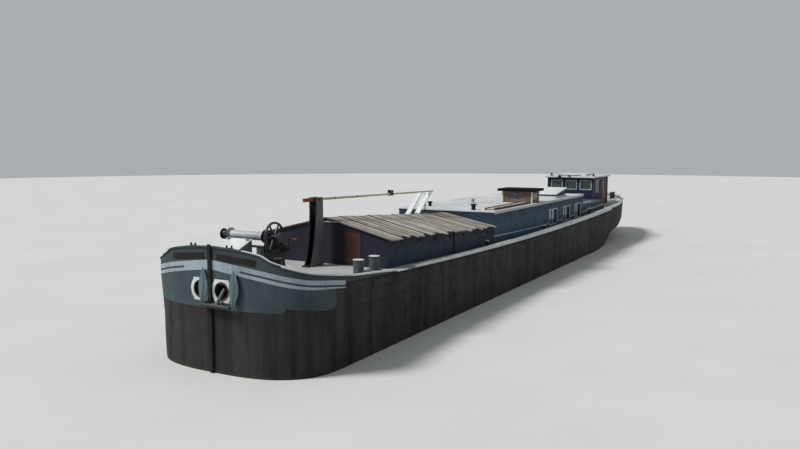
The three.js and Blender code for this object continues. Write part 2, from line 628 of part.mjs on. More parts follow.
// The crutch leans aft on the hatch boards like an easel: two wide legs, a bar under the spar and a stay.
const CRUTCH = {
  foot: 10150, head: 11200, y: -180, half: 270, leg: 185, thick: 72, bar: 50, clear: 6, stay: 20,
};
function mastCrutch() {
  const { foot, head, y, half, leg, thick, bar, clear, stay } = CRUTCH;
  const top = sparZ(head - (BOW_X - PIVOT.x)) - MAST.thick - clear;
  const low = boardZ(at(foot), 0) - 60;
  const lean = [[at(foot), low], [at(foot) + thick, low], [at(head) + thick, top], [at(head), top]];
  const legs = [-half, half - leg].map((dy) => acrossXZ(lean, [y + dy, y + dy + leg]));
  const barX = [at(head) - 20, at(head) + thick];
  const headBar = box(barX, [y - half, y + half], [top - bar, top]);
  const prop = rod([at(head), y, boardZ(at(head), 0) - 60], [at(head), y, top - bar / 2], stay, { sides: 8 });
  const underneath = SIDES.map(({ sign }) =>
    onHatch([at(head) - 200, at(foot) + 300], [0, sign * 900], [-400, BOARDS_TOP + GAP]));
  return cut(join(...legs, headBar, prop), ...underneath);
}
add("mast_crutch", mastCrutch(), "white");

// Raised cabin over the after part of the hold

const CABIN = { from: 12500, to: 24300, half: 2000, wall: 60, roof: above(2970) };
const CABIN_ROOF = { thick: 60, over: 35, frontOver: 25 };
// distance aft of the stem where each side window starts and ends
const CABIN_WINDOWS = [[18900, 20000], [20950, 21950], [22850, 23800]];
const CABIN_SILL = above(1900);
const CABIN_HEAD = above(2540);
const GLASS = 8;
const cabinTop = CABIN.roof - CABIN_ROOF.thick - GAP;
const cabinFoot = above(DECK_LOW) - BURIED;
const inside = CABIN.half - CABIN.wall - GAP;
for (const { side, sign } of SIDES) {
  const { from, to, half, wall } = CABIN;
  const through = [sign * (half - 2 * wall), sign * (half + wall)];
  const windows = CABIN_WINDOWS.map(([a, b]) => box([at(b), at(a)], through, [CABIN_SILL, CABIN_HEAD]));
  const wallBox = box([at(to), at(from)], [sign * (half - wall), sign * half], [cabinFoot, cabinTop]);
  add(`cabin_wall_${side}`, seat(cut(wallBox, ...windows)), "navy");
  const [first, last] = [CABIN_WINDOWS[0][0] - 60, CABIN_WINDOWS[2][1] + 60];
  const depth = [sign * (inside - GLASS), sign * inside];
  const pane = box([at(last), at(first)], depth, [CABIN_SILL - 40, CABIN_HEAD + 40]);
  add(`cabin_glass_${side}`, pane, "glass");
}
for (const [name, front] of [["front", CABIN.from], ["aft", CABIN.to - CABIN.wall]]) {
  const wall = box([at(front + CABIN.wall), at(front)], [-inside, inside], [cabinFoot, cabinTop]);
  add(`cabin_${name}_wall`, seat(wall), "navy");
}
const roofHalf = CABIN.half + CABIN_ROOF.over;
const roofSpan = [at(CABIN.to + CABIN_ROOF.over), at(CABIN.from - CABIN_ROOF.frontOver)];
add("cabin_roof", box(roofSpan, [-roofHalf, roofHalf], [CABIN.roof - CABIN_ROOF.thick, CABIN.roof]), "roof");

// On the cabin roof: a varnished deckhouse, a skylight with a white lid, and a gangplank

const onRoof = CABIN.roof + GAP;
const DECKHOUSE = {
  from: 17080, length: 850, y: 1170, half: 650, tall: 480, wall: 50, roof: 110, eave: 185,
};
function deckhouse() {
  const { from, length, y, half, tall, wall, roof, eave } = DECKHOUSE;
  const x = [at(from + length), at(from)];
  const inset = (k) => [[x[0] + k, x[1] - k], [y - half + k, y + half - k]];
  const shell = box(...inset(0), [onRoof, onRoof + tall]);
  const room = box(...inset(wall), [onRoof + 40, onRoof + tall + 10]);
  const light = [onRoof + 150, onRoof + tall - 100];
  const ends = box([x[0] - 50, x[1] + 50], [y - 380, y + 180], light);
  const sides = box([x[0] + 190, x[1] - 190], [y - half - 50, y + half + 50], light);
  add("deckhouse_walls", cut(shell, room, ends, sides), "varnish");
  add("deckhouse_roof", box(...inset(-eave), [onRoof + tall + GAP, onRoof + tall + roof]), "iron");
}
deckhouse();

const SKYLIGHT = { from: 20730, to: 22230, y: 1080, half: 620, front: 145, back: 360, wall: 50 };
const skylightSlope = (SKYLIGHT.back - SKYLIGHT.front) / (SKYLIGHT.to - SKYLIGHT.from);
const skylightZ = (aft) => onRoof + SKYLIGHT.front + (aft - SKYLIGHT.from) * skylightSlope;
function skylight() {
  const { from, to, y, half, wall } = SKYLIGHT;
  const outer = [[at(to), onRoof], [at(from), onRoof], [at(from), skylightZ(from)], [at(to), skylightZ(to)]];
  const shell = acrossXZ(outer, [y - half, y + half]);
  const across = [y - half + wall, y + half - wall];
  return cut(shell, box([at(to - wall), at(from + wall)], across, [onRoof - 10, onRoof + 900]));
}
add("skylight_frame", skylight(), "white");

const SKYLIGHT_LID = { over: 60, clear: 6, thick: 40 };
function skylightLid() {
  const { from, to, y, half } = SKYLIGHT;
  const { over, clear, thick } = SKYLIGHT_LID;
  const edge = (aft, k) => [at(aft), skylightZ(aft) + clear + k];
  const [back, front] = [to + over, from - over];
  const outline = [edge(back, 0), edge(front, 0), edge(front, thick), edge(back, thick)];
  return acrossXZ(outline, [y - half - over, y + half + over]);
}
const lidEnd = SKYLIGHT.to + SKYLIGHT_LID.over;
const lidTop = skylightZ(lidEnd) + SKYLIGHT_LID.clear + SKYLIGHT_LID.thick;
add("skylight_lid", skylightLid(), "white", [at(lidEnd), SKYLIGHT.y, lidTop]);

const PLANK = { from: 12950, length: 3900, y: 1650, half: 210, rail: 45, tall: 80, treads: 11, tread: 28 };
function gangplank() {
  const { from, length, y, half, rail, tall, treads, tread } = PLANK;
  const rails = [-half, half - rail].map((dy) =>
    box([at(from + length), at(from)], [y + dy, y + dy + rail], [onRoof, onRoof + tall]));
  const steps = Array.from({ length: treads }, (_, i) => {
    const x = at(from + 120 + ((length - 240) * i) / (treads - 1));
    return box([x - 90, x + 90], [y - half + 20, y + half - 20], [onRoof + 30, onRoof + 30 + tread]);
  });
  return join(...rails, ...steps);
}
add("gangplank", gangplank(), "boards");

// Engine casing and wheelhouse

const CASING = { from: 24303, to: 28770, half: 1950, top: above(2400) };
const casing = box([at(CASING.to), at(CASING.from)], [-CASING.half, CASING.half], [cabinFoot, CASING.top]);
add("engine_casing", seat(casing), "navy");

// y of each front window's edges
const FRONT_WINDOWS = [[-1070, -465], [-240, 360], [570, 1190]];
const FRONT_SILL = above(2940);
const LIGHT_SILL = above(2760);
const LIGHT_HEAD = above(3440);
const SIDE_WINDOW = [29300, 30400];
const DOOR = { from: 30750, width: 740, thick: 40, clear: 6, foot: above(2030), head: above(3500) };
const wheelhouseFoot = above(1700);

function wheelhouseEnds() {
  const { front, back, half, wall, wallTop } = WHEELHOUSE;
  const clear = half - wall - GAP;
  const plate = (aft) => box([at(aft + wall), at(aft)], [-clear, clear], [wheelhouseFoot, wallTop - GAP]);
  const opening = (aft, y, z) => box([at(aft + 200), at(aft - 200)], y, z);
  const frontLights = FRONT_WINDOWS.map((y) => opening(front, y, [FRONT_SILL, LIGHT_HEAD]));
  const backLight = opening(back - wall, [-800, 800], [LIGHT_SILL, LIGHT_HEAD]);
  add("wheelhouse_front", seat(cut(plate(front), ...frontLights)), "navy");
  add("wheelhouse_back", seat(cut(plate(back - wall), backLight)), "navy");
  const pane = (aft, y, sill) => box([at(aft + GLASS), at(aft)], y, [sill - 40, LIGHT_HEAD + 40]);
  add("wheelhouse_front_glass", pane(front + wall + GAP, [-1150, 1240], FRONT_SILL), "glass");
  add("wheelhouse_back_glass", pane(back - wall - GLASS - GAP, [-850, 850], LIGHT_SILL), "glass");
}
wheelhouseEnds();

function wheelhouseSide(side, sign) {
  const { front, back, half, wall, wallTop } = WHEELHOUSE;
  const through = [sign * (half - 2 * wall), sign * (half + wall)];
  const doorway = box([at(DOOR.from + DOOR.width), at(DOOR.from)], through, [DOOR.foot, DOOR.head]);
  const light = box([at(SIDE_WINDOW[1]), at(SIDE_WINDOW[0])], through, [LIGHT_SILL, LIGHT_HEAD]);
  const depth = [sign * (half - wall), sign * half];
  const plate = box([at(back), at(front)], depth, [wheelhouseFoot, wallTop - GAP]);
  add(`wheelhouse_${side}`, seat(cut(plate, doorway, light)), "navy");

  const { from, width, thick, clear, foot, head } = DOOR;
  const outer = half + 4;
  const x = [at(from + width - clear), at(from + clear)];
  const leaf = box(x, [sign * (outer - thick), sign * outer], [foot + clear, head - clear]);
  const pane = box([x[0] + 130, x[1] - 130], through, [LIGHT_SILL, LIGHT_HEAD - 60]);
  add(`door_${side}`, cut(leaf, pane), "varnish", [x[1], sign * outer, 0]);
}
for (const { side, sign } of SIDES) wheelhouseSide(side, sign);

const CABIN_TOP = { over: 120, front: 200, thick: 90 };
const topHalf = WHEELHOUSE.half + CABIN_TOP.over;
add("wheelhouse_roof", box(
  [at(WHEELHOUSE.back + CABIN_TOP.over), at(WHEELHOUSE.front - CABIN_TOP.front)],
  [-topHalf, topHalf], [WHEELHOUSE.wallTop, WHEELHOUSE.wallTop + CABIN_TOP.thick]), "roof");

const HELM = {
  aft: 29500, half: 220, deep: 260, top: above(2300), wheelZ: above(2420), radius: 460, head: 100,
};
function helm() {
  const { aft, half, deep, top, wheelZ, radius, head } = HELM;
  const x = at(aft);
  const pedestal = box([x, x + deep], [-half, half], [WHEELHOUSE.floor + GAP, top]);
  const block = box([x, x + deep - 60], [-head, head], [top - 10, wheelZ + head]);
  add("helm_pedestal", join(pedestal, block), "varnish");
  const wheel = spokedWheel({ radius, rim: 45, wide: 40, spokes: 8, hub: 70 }).rotate([0, 0, 90]);
  const boss = rod([0, 0, 0], [50, 0, 0], 40);
  const pivot = [x - 56, 0, wheelZ];
  add("steering_wheel", join(wheel, boss).translate(pivot), "varnish", pivot);
}
helm();

// Rudder and propeller

const BLADE = { lead: 250, trail: 1200, half: 38, foot: 170, head: 1190 };
function rudder() {
  const x = at(STOCK.aft);
  const { lead, trail, half, foot, head } = BLADE;
  const outline = [
    [x + lead, foot], [x + lead, head], [x - trail + 120, head], [x - trail, (foot + head) / 2],
    [x - trail + 40, foot],
  ];
  const stock = rod([x, 0, STOCK.foot], [x, 0, STOCK.head], STOCK.radius);
  return join(stock, acrossXZ(outline, [-half, half]));
}
add("rudder", rudder(), "tar", [at(STOCK.aft), 0, 0]);

const HUB = { radius: 95, front: 120, back: 120, nose: 110, shaftTo: 580, shaft: 60 };
function propeller() {
  const x = at(PROPELLER.aft);
  const { radius, front, back, nose, shaftTo, shaft } = HUB;
  const hub = join(
    rod([x + front, 0, SHAFT_Z], [x - back, 0, SHAFT_Z], radius, { sides: 16 }),
    rod([x - back, 0, SHAFT_Z], [x - back - nose, 0, SHAFT_Z], radius, { endRadius: 40, sides: 16 }),
    rod([x + shaftTo, 0, SHAFT_Z], [x + front, 0, SHAFT_Z], shaft),
  );
  const tip = PROPELLER.radius;
  const outline = [
    [-60, 0], [60, 0], [140, tip * 0.5], [130, tip * 0.78], [55, tip],
    [-55, tip], [-130, tip * 0.78], [-140, tip * 0.5],
  ];
  const blade = alongYZ(outline, [-15, 15]).rotate([0, 0, 38]);
  const blades = Array.from({ length: PROPELLER.blades }, (_, i) =>
    blade.rotate([(i * 360) / PROPELLER.blades, 0, 0]).translate([x, 0, SHAFT_Z]));
  return join(hub, ...blades);
}
add("propeller", propeller(), "bronze", [at(PROPELLER.aft), 0, SHAFT_Z]);

export default barge;
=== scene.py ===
import math
import random

import bmesh
import bpy
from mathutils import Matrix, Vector


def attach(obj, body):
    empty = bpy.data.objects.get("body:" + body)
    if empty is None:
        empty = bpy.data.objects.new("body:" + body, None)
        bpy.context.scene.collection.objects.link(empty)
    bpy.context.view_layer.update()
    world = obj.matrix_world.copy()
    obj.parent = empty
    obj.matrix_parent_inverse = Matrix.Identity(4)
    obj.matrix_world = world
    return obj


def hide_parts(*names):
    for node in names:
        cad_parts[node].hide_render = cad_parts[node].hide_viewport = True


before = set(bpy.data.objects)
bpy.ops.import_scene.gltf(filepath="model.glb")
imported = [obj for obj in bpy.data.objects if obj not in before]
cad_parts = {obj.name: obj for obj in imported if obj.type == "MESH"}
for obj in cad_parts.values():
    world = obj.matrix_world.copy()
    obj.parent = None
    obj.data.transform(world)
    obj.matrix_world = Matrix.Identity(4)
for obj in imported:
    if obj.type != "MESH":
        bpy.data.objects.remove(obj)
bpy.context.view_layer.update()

# A river barge of the 5.05 m canal type. Metres. +X to the bow, +Y to port, +Z up.

chance = random.Random(11)

BOW_X = 18.1475
WATER = 0.62
LENGTH = 36.5
SIDES = (("port", 1), ("starboard", -1))
SIGNS = (1, -1)
AHEAD, ACROSS, UP = (1, 0, 0), (0, 1, 0), (0, 0, 1)


def at(aft):
    """A distance aft of the stem, as X."""
    return BOW_X - aft


def above(height):
    """A height above the waterline, as Z."""
    return WATER + height


def spread(low, high, step):
    """Evenly spaced numbers from low to high, about a step apart."""
    count = max(1, round((high - low) / step))
    return [low + (high - low) * i / count for i in range(count + 1)]


def bisect(low, high, steps, before):
    """The number between low and high where before(number) turns false."""
    for _ in range(steps):
        middle = (low + high) / 2
        low, high = (middle, high) if before(middle) else (low, middle)
    return low


def curve(table, distance):
    """The height at a distance, on a smooth line through a table's rows that never overshoots."""
    if distance <= table[0][0]:
        return table[0][1]
    if distance >= table[-1][0]:
        return table[-1][1]
    slopes = [(b[1] - a[1]) / (b[0] - a[0]) for a, b in zip(table, table[1:])]

    def tangent(i):
        before, after = slopes[max(i - 1, 0)], slopes[min(i, len(slopes) - 1)]
        return 0 if before * after <= 0 else 2 * before * after / (before + after)

    i = next(k for k in range(len(slopes)) if distance <= table[k + 1][0])
    size = table[i + 1][0] - table[i][0]
    t = (distance - table[i][0]) / size
    from_low = (1 + 2 * t) * (1 - t) ** 2 * table[i][1] + t * (1 - t) ** 2 * size * tangent(i)
    from_high = t * t * (3 - 2 * t) * table[i + 1][1] + t * t * (t - 1) * size * tangent(i + 1)
    return from_low + from_high


def linked(name, data):
    """A new object in the scene."""
    made = bpy.data.objects.new(name, data)
    bpy.context.scene.collection.objects.link(made)
    return made


# Camera and light

CAMERA_AT, CAMERA_TOWARDS = (30.8475, 12.21, 5.91), (-0.867, -0.4875, -0.1033)
LENS, SENSOR, FARTHEST = 33.3, 36, 400
KEY_TOWARDS, KEY_ENERGY, KEY_COLOUR, KEY_WIDTH = (-0.62, 0.60, -0.95), 3.65, (1.0, 0.985, 0.96), 0.25
SKY_COLOUR, SKY_STRENGTH = (0.86, 0.89, 0.92, 1), 0.47


def facing(towards):
    return Vector(towards).to_track_quat("-Z", "Y").to_euler()


camera = linked("camera", bpy.data.cameras.new("camera"))
bpy.context.scene.camera = camera
camera.location, camera.rotation_euler = CAMERA_AT, facing(CAMERA_TOWARDS)
camera.data.lens, camera.data.sensor_width, camera.data.clip_end = LENS, SENSOR, FARTHEST

key = bpy.data.lights.new("key_light", "SUN")
key.energy, key.color, key.angle = KEY_ENERGY, KEY_COLOUR, KEY_WIDTH
linked("key_light", key).rotation_euler = facing(KEY_TOWARDS)

bpy.context.scene.view_settings.view_transform = "Standard"
world = bpy.data.worlds.new("studio")
bpy.context.scene.world = world
world.use_nodes = True
sky = world.node_tree.nodes["Background"].inputs
sky["Color"].default_value, sky["Strength"].default_value = SKY_COLOUR, SKY_STRENGTH

# Materials


def srgb(red, green, blue):
    """A colour of 0 to 255 as linear light."""
    def channel(c):
        c /= 255
        return c / 12.92 if c <= 0.04045 else ((c + 0.055) / 1.055) ** 2.4
    return (channel(red), channel(green), channel(blue), 1.0)


class Finish:
    """A material of nodes. Its textures lie in the object's own coordinates, in metres."""

    def __init__(self, name, **constants):
        self.material = bpy.data.materials.new(name)
        self.material.use_nodes = True
        self.nodes, self.links = self.material.node_tree.nodes, self.material.node_tree.links
        self.nodes.clear()
        self.shader = self.nodes.new("ShaderNodeBsdfPrincipled")
        self.links.new(self.shader.outputs[0], self.nodes.new("ShaderNodeOutputMaterial").inputs[0])
        self.place = self.nodes.new("ShaderNodeTexCoord")
        for key, value in constants.items():
            self.shader.inputs[key.replace("_", " ")].default_value = value

    def feed(self, socket, source):
        if isinstance(source, bpy.types.NodeSocket):
            self.links.new(source, socket)
        else:
            socket.default_value = source

    def node(self, kind, output, inputs, **settings):
        made = self.nodes.new("ShaderNode" + kind)
        for key, value in settings.items():
            setattr(made, key, value)
        for key, source in inputs.items():
            self.feed(made.inputs[key], source)
        return made.outputs[output]

    def noise(self, scale, stretch=(1, 1, 1), detail=5, rough=0.6, seed=0, twist=0):
        shift = (seed * 7.3, seed * 3.1, 0)
        moved = {"Vector": self.place.outputs["Object"], "Scale": stretch, "Location": shift}
        settings = {"Scale": scale, "Detail": detail, "Roughness": rough, "Distortion": twist}
        return self.node("TexNoise", 0, {"Vector": self.node("Mapping", 0, moved), **settings})

    def steps(self, value, low, high, to_low=0.0, to_high=1.0):
        rows = {"Value": value, "From Min": low, "From Max": high, "To Min": to_low, "To Max": to_high}
        return self.node("MapRange", 0, rows, clamp=True)

    def patches(self, low, high, share, *noise, **settings):
        """Noise cut into patches: nothing below low, a share above high."""
        return self.steps(self.noise(*noise, **settings), low, high, 0, share)

    def maths(self, kind, a, b):
        return self.node("Math", 0, {0: a, 1: b}, operation=kind)

    def mix(self, share, a, b):
        return self.node("Mix", 2, {0: share, 6: a, 7: srgb(*b)}, data_type="RGBA")

    def over(self, tone, colour, low, high, share, *noise, **settings):
        """A tone with patches of a colour on it."""
        return self.mix(self.patches(low, high, share, *noise, **settings), tone, colour)

    def axis(self, name, kind="Object"):
        return self.node("SeparateXYZ", name, {"Vector": self.place.outputs[kind]})

    def bump(self, height, strength, depth):
        inputs = {"Strength": strength, "Distance": depth, "Height": height}
        self.feed(self.shader.inputs["Normal"], self.node("Bump", 0, inputs))

    def done(self, colour, rough):
        self.feed(self.shader.inputs["Base Color"], colour)
        self.feed(self.shader.inputs["Roughness"], rough)
        return self.material


RUST, GRIME, DUST = (104, 62, 38), (46, 44, 40), (150, 146, 138)


def paint(name, colour, shade, gloss=(0.35, 0.6), mottle=1.2, streak=0.3, rust=0.15, dirt=0.3, seed=0, dust=0.0,
          upper=None, **constants):
    """Weathered paint: cloudy tone, runs down the sides, specks of dirt and rust, dust on top.

    upper is a darker colour above a sloping line: colour, its rise along X, its height at X = 0, the blend."""
    f = Finish(name, **constants)
    tone = f.over(srgb(*colour), shade, 0.34, 0.66, 1.0, mottle, seed=seed)
    # upper: a darker band above a sloping line; on the coamings it is painted shadow
    if upper:
        dark, rise, base, blend = upper
        height = f.maths("SUBTRACT", f.axis("Z"), f.maths("MULTIPLY", f.axis("X"), rise))
        tone = f.mix(f.steps(height, base - blend, base), tone, dark)
    tone = f.over(tone, GRIME, 0.50, 0.78, streak, 1.0, (10, 10, 0.6), seed=seed + 1)
    tone = f.over(tone, GRIME, 0.52, 0.78, dirt, 17, detail=8, rough=0.7, seed=seed + 2)
    if dust:
        level = f.steps(f.axis("Z", "Normal"), 0.5, 0.95, 0, dust)
        lying = f.maths("MULTIPLY", level, f.patches(0.3, 0.7, 1.0, 3, detail=7, seed=seed + 5))
        tone = f.mix(lying, tone, DUST)
    spots = f.patches(0.63, 0.70, rust, 6.5, (1, 1, 0.7), detail=10, rough=0.72, seed=seed + 3)
    rough = f.steps(f.noise(5, seed=seed + 4), 0.3, 0.7, *gloss)
    grain = f.maths("ADD", f.noise(90, detail=3), f.maths("MULTIPLY", f.noise(2.2, seed=seed + 6), 2.0))
    f.bump(f.maths("ADD", grain, spots), 0.35, 0.004)
    return f.done(f.mix(spots, tone, RUST), f.maths("MAXIMUM", rough, f.maths("MULTIPLY", spots, 0.9)))


def hull_paint(name):
    """Black bitumen on the hull: scuffs and pale runs above the water, growth and rust below it."""
    f = Finish(name, Specular_IOR_Level=0.18)
    tone = f.over(srgb(48, 48, 49), (36, 36, 37), 0.35, 0.65, 1.0, 0.9)
    tone = f.over(tone, (62, 60, 59), 0.52, 0.74, 0.6, 1.0, (2.2, 2.2, 0.14), detail=6, seed=1)
    tone = f.over(tone, (20, 20, 21), 0.46, 0.62, 0.8, 1.0, (3.0, 3.0, 0.2), detail=6, seed=8)
    tone = f.over(tone, (80, 79, 78), 0.62, 0.74, 0.25, 1.0, (0.7, 0.7, 16), detail=8, rough=0.7, seed=2)
    tone = f.over(tone, RUST, 0.63, 0.70, 0.55, 4, (1, 1, 0.6), detail=10, rough=0.72, seed=3)
    line = f.maths("ADD", f.axis("Z"), f.maths("MULTIPLY", f.noise(1.5, detail=8, seed=4), 0.16))
    wet = f.steps(line, 0.66, 0.80, 1.0, 0.0)
    slime = f.over(srgb(44, 47, 36), (66, 52, 40), 0.4, 0.62, 1.0, 2.4, detail=8, seed=5)
    tone = f.node("Mix", 2, {0: f.maths("MULTIPLY", wet, 0.85), 6: tone, 7: slime}, data_type="RGBA")
    plates = f.maths("ADD", f.maths("MULTIPLY", f.noise(0.8, detail=2, seed=7), 9.0), f.noise(60, detail=4))
    f.bump(f.maths("ADD", plates, f.maths("MULTIPLY", wet, f.noise(25, detail=8))), 0.45, 0.004)
    return f.done(tone, f.steps(f.noise(3, seed=6), 0.3, 0.7, 0.55, 0.8))


def wood(name, pale, dark, grain=(1, 0.05, 1), gloss=(0.75, 0.95), cracks=0.6, variety=0.5, grime=0.35,
         **constants):
    """Wood with its grain drawn out along the axis where the stretch is small."""
    f = Finish(name, **constants)
    lines = f.patches(0.35, 0.65, 1.0, 1.0, [8 * g for g in grain], detail=8, rough=0.65, twist=0.4)
    boards = f.steps(f.node("NewGeometry", "Random Per Island", {}), 0, 1, 0.0, variety)
    tone = f.mix(boards, f.mix(lines, srgb(*pale), dark), [c * 0.62 for c in dark])
    veins = f.patches(0.60, 0.72, cracks, 1.0, [42 * g for g in grain], detail=4, rough=0.7, seed=2)
    tone = f.over(f.mix(veins, tone, (38, 34, 30)), GRIME, 0.50, 0.75, grime, 2.5, detail=8, seed=4)
    f.bump(f.maths("SUBTRACT", lines, f.maths("MULTIPLY", veins, 2.0)), 0.5, 0.003)
    return f.done(tone, f.steps(lines, 0, 1, *gloss))


def glazing(name, pale, dark, **constants):
    """Glass with a thin film of dirt."""
    f = Finish(name, IOR=1.46, **constants)
    tone = f.over(srgb(*pale), dark, 0.35, 0.75, 1.0, 3, (1, 1, 0.4), detail=7)
    return f.done(tone, f.steps(f.noise(9, detail=8, seed=2), 0.4, 0.8, 0.03, 0.22))


def stone(name, pale, dark):
    f = Finish(name)
    tone = f.over(srgb(*pale), dark, 0.3, 0.7, 1.0, 0.35, detail=4)
    return f.done(tone, f.steps(f.noise(2), 0.3, 0.7, 0.75, 0.9))


MATT = {"gloss": (0.5, 0.75), "Specular_IOR_Level": 0.22}
TAR = hull_paint("hull_bitumen")
DECK = paint("deck_paint", (172, 174, 173), (146, 149, 149), (0.7, 0.9), dirt=0.5, rust=0.35, dust=0.4, seed=3)
BULWARK = paint("bulwark_paint", (58, 67, 70), (47, 55, 58), streak=0.35, rust=0.2, seed=5, **MATT)
PANEL = paint("bow_panel_paint", (63, 76, 81), (51, 63, 69), streak=0.5, rust=0.25, seed=8, **MATT)
FLUKE = paint("anchor_paint", (84, 103, 109), (64, 82, 88), rust=0.4, seed=9)
WHITE = paint("white_paint", (204, 208, 207), (176, 181, 181), rust=0.25, dirt=0.4, seed=13)
BAND = paint("band_paint", (147, 160, 167), (124, 137, 144), streak=0.35, rust=0.2, seed=17)
STRIPE = paint("stripe_paint", (186, 198, 206), (160, 172, 180), rust=0.1, seed=19)
# the coamings' darker upper band, above a line that falls aft with the hatch boards, is painted shadow under
# the boards' overhang
COAMING = paint("coaming_paint_and_painted_shadow", (35, 54, 66), (28, 44, 56), seed=23,
                upper=((20, 21, 36), 0.0502, 2.62, 0.30), **MATT)
NAVY = paint("wheelhouse_paint", (30, 37, 60), (22, 28, 47), streak=0.25, rust=0.08, seed=24, **MATT)
BLUE = paint("cabin_paint", (46, 74, 94), (38, 62, 80), streak=0.25, rust=0.10, seed=27,
             upper=((28, 42, 58), 0.0, 3.56, 0.5), **MATT)
# dark blue paint of the casing's sides; on the casing's top, its hatches and the skylight frame it is painted
# shade
CASING = paint("casing_paint_and_painted_shade", (40, 60, 76), (31, 49, 63), streak=0.25, rust=0.12, seed=28, dust=0.25, **MATT)
GABLE = paint("gable_paint", (38, 34, 48), (28, 26, 38), seed=29, **MATT)
BOLLARD = paint("bollard_paint", (74, 80, 84), (56, 62, 66), (0.45, 0.7), rust=0.3, seed=44)
ROOF = paint("roof_paint", (190, 192, 194), (164, 166, 169), (0.55, 0.8), 0.8, streak=0.0, dirt=0.45, rust=0.25,
             seed=31)
SOOT = paint("deckhouse_roof_paint", (14, 13, 13), (10, 10, 10), (0.8, 0.95), streak=0.0, dirt=0.1, rust=0.05,
             seed=38, Specular_IOR_Level=0.12)
SEAM = paint("seam_bitumen", (24, 24, 25), (17, 17, 18), dirt=0.2, rust=0.25, seed=36, **MATT)
BLACK = paint("black_paint", (27, 26, 28), (17, 17, 19), dirt=0.1, seed=37, **MATT)
IRON = paint("iron_paint", (40, 43, 46), (26, 29, 32), (0.35, 0.65), rust=0.5, dust=0.2, seed=41, Metallic=0.25)
DULL = paint("grey_paint", (92, 99, 102), (70, 77, 81), (0.45, 0.7), rust=0.3, seed=43)
PALE = paint("barrel_paint", (176, 178, 182), (146, 149, 154), (0.4, 0.65), rust=0.3, dirt=0.5, seed=47)
CREAM = paint("cream_paint", (206, 201, 180), (176, 171, 152), streak=0.25, rust=0.05, seed=53)
BRONZE = paint("bronze", (148, 112, 62), (110, 86, 52), (0.25, 0.5), rust=0.0, seed=59, Metallic=0.85)
SILVER = paint("frame_paint", (188, 192, 200), (160, 165, 174), streak=0.2, rust=0.05, seed=61)
BOARDS = wood("hatch_board_wood", (188, 184, 176), (136, 131, 123), cracks=0.7, variety=0.65)
# the sides of the hatch boards: darker wood as painted shade in the gaps between the boards
BOARD_SIDES_SHADE = wood("hatch_board_sides_painted_shade", (104, 98, 91), (66, 61, 56), cracks=0.7, variety=0.4)
PLANKS = wood("plank_wood", (188, 182, 168), (142, 134, 120), (0.05, 1, 1), cracks=0.5, variety=0.35)
VARNISH = wood("door_wood", (134, 69, 41), (90, 44, 28), (1, 1, 0.05), (0.4, 0.6), cracks=0.35,
               variety=0.3, Specular_IOR_Level=0.3)
OLD_DOOR = wood("hold_door_wood", (76, 43, 35), (52, 29, 26), (1, 1, 0.05), (0.5, 0.75), cracks=0.45,
                variety=0.3, Specular_IOR_Level=0.25)
TEAK = wood("deckhouse_wood", (118, 101, 87), (82, 67, 56), (0.05, 1, 1), (0.55, 0.8), cracks=0.4, variety=0.3,
            Specular_IOR_Level=0.3)
SPAR = wood("spar_wood", (206, 198, 180), (168, 156, 132), (0.05, 1, 1), (0.45, 0.7), cracks=0.3, variety=0.2,
            grime=0.2)
GLASS = glazing("window_glass", (118, 140, 136), (86, 104, 102), Transmission_Weight=0.72)
# nearly opaque dark glass: painted shade standing for the dark inside of the wheelhouse behind its side windows
# and door panes
PAINTED_SHADE_GLASS = glazing("side_window_glass_painted_shade", (36, 46, 50), (26, 34, 38), Transmission_Weight=0.12,
                       Specular_IOR_Level=0.08)
FLOOR = stone("floor", (192, 193, 192), (187, 188, 188))

# Shapes

SHARP = math.radians(35)


def circle(count, shift=0.0):
    """The cosine and sine of each of a number of even turns."""
    turns = [2 * math.pi * (k + shift) / count for k in range(count)]
    return [(math.cos(t), math.sin(t)) for t in turns]


def spokes(along, count, start=None):
    """Unit vectors all round an axis. The first lies nearest to start."""
    across = (along.orthogonal() if start is None else start - along * start.dot(along)).normalized()
    other = along.cross(across)
    return [across * c + other * s for c, s in circle(count)]


def square(x, y, z):
    """The corners of an upright rectangle across the barge."""
    return [(x, y[0], z[0]), (x, y[1], z[0]), (x, y[1], z[1]), (x, y[0], z[1])]


def beside(sign, inner, outer):
    """The span between two distances off the centreline, on one side."""
    return sorted((sign * inner, sign * outer))


def about(middle, half):
    return (middle - half, middle + half)


def up(distance):
    return Vector((0, 0, distance))


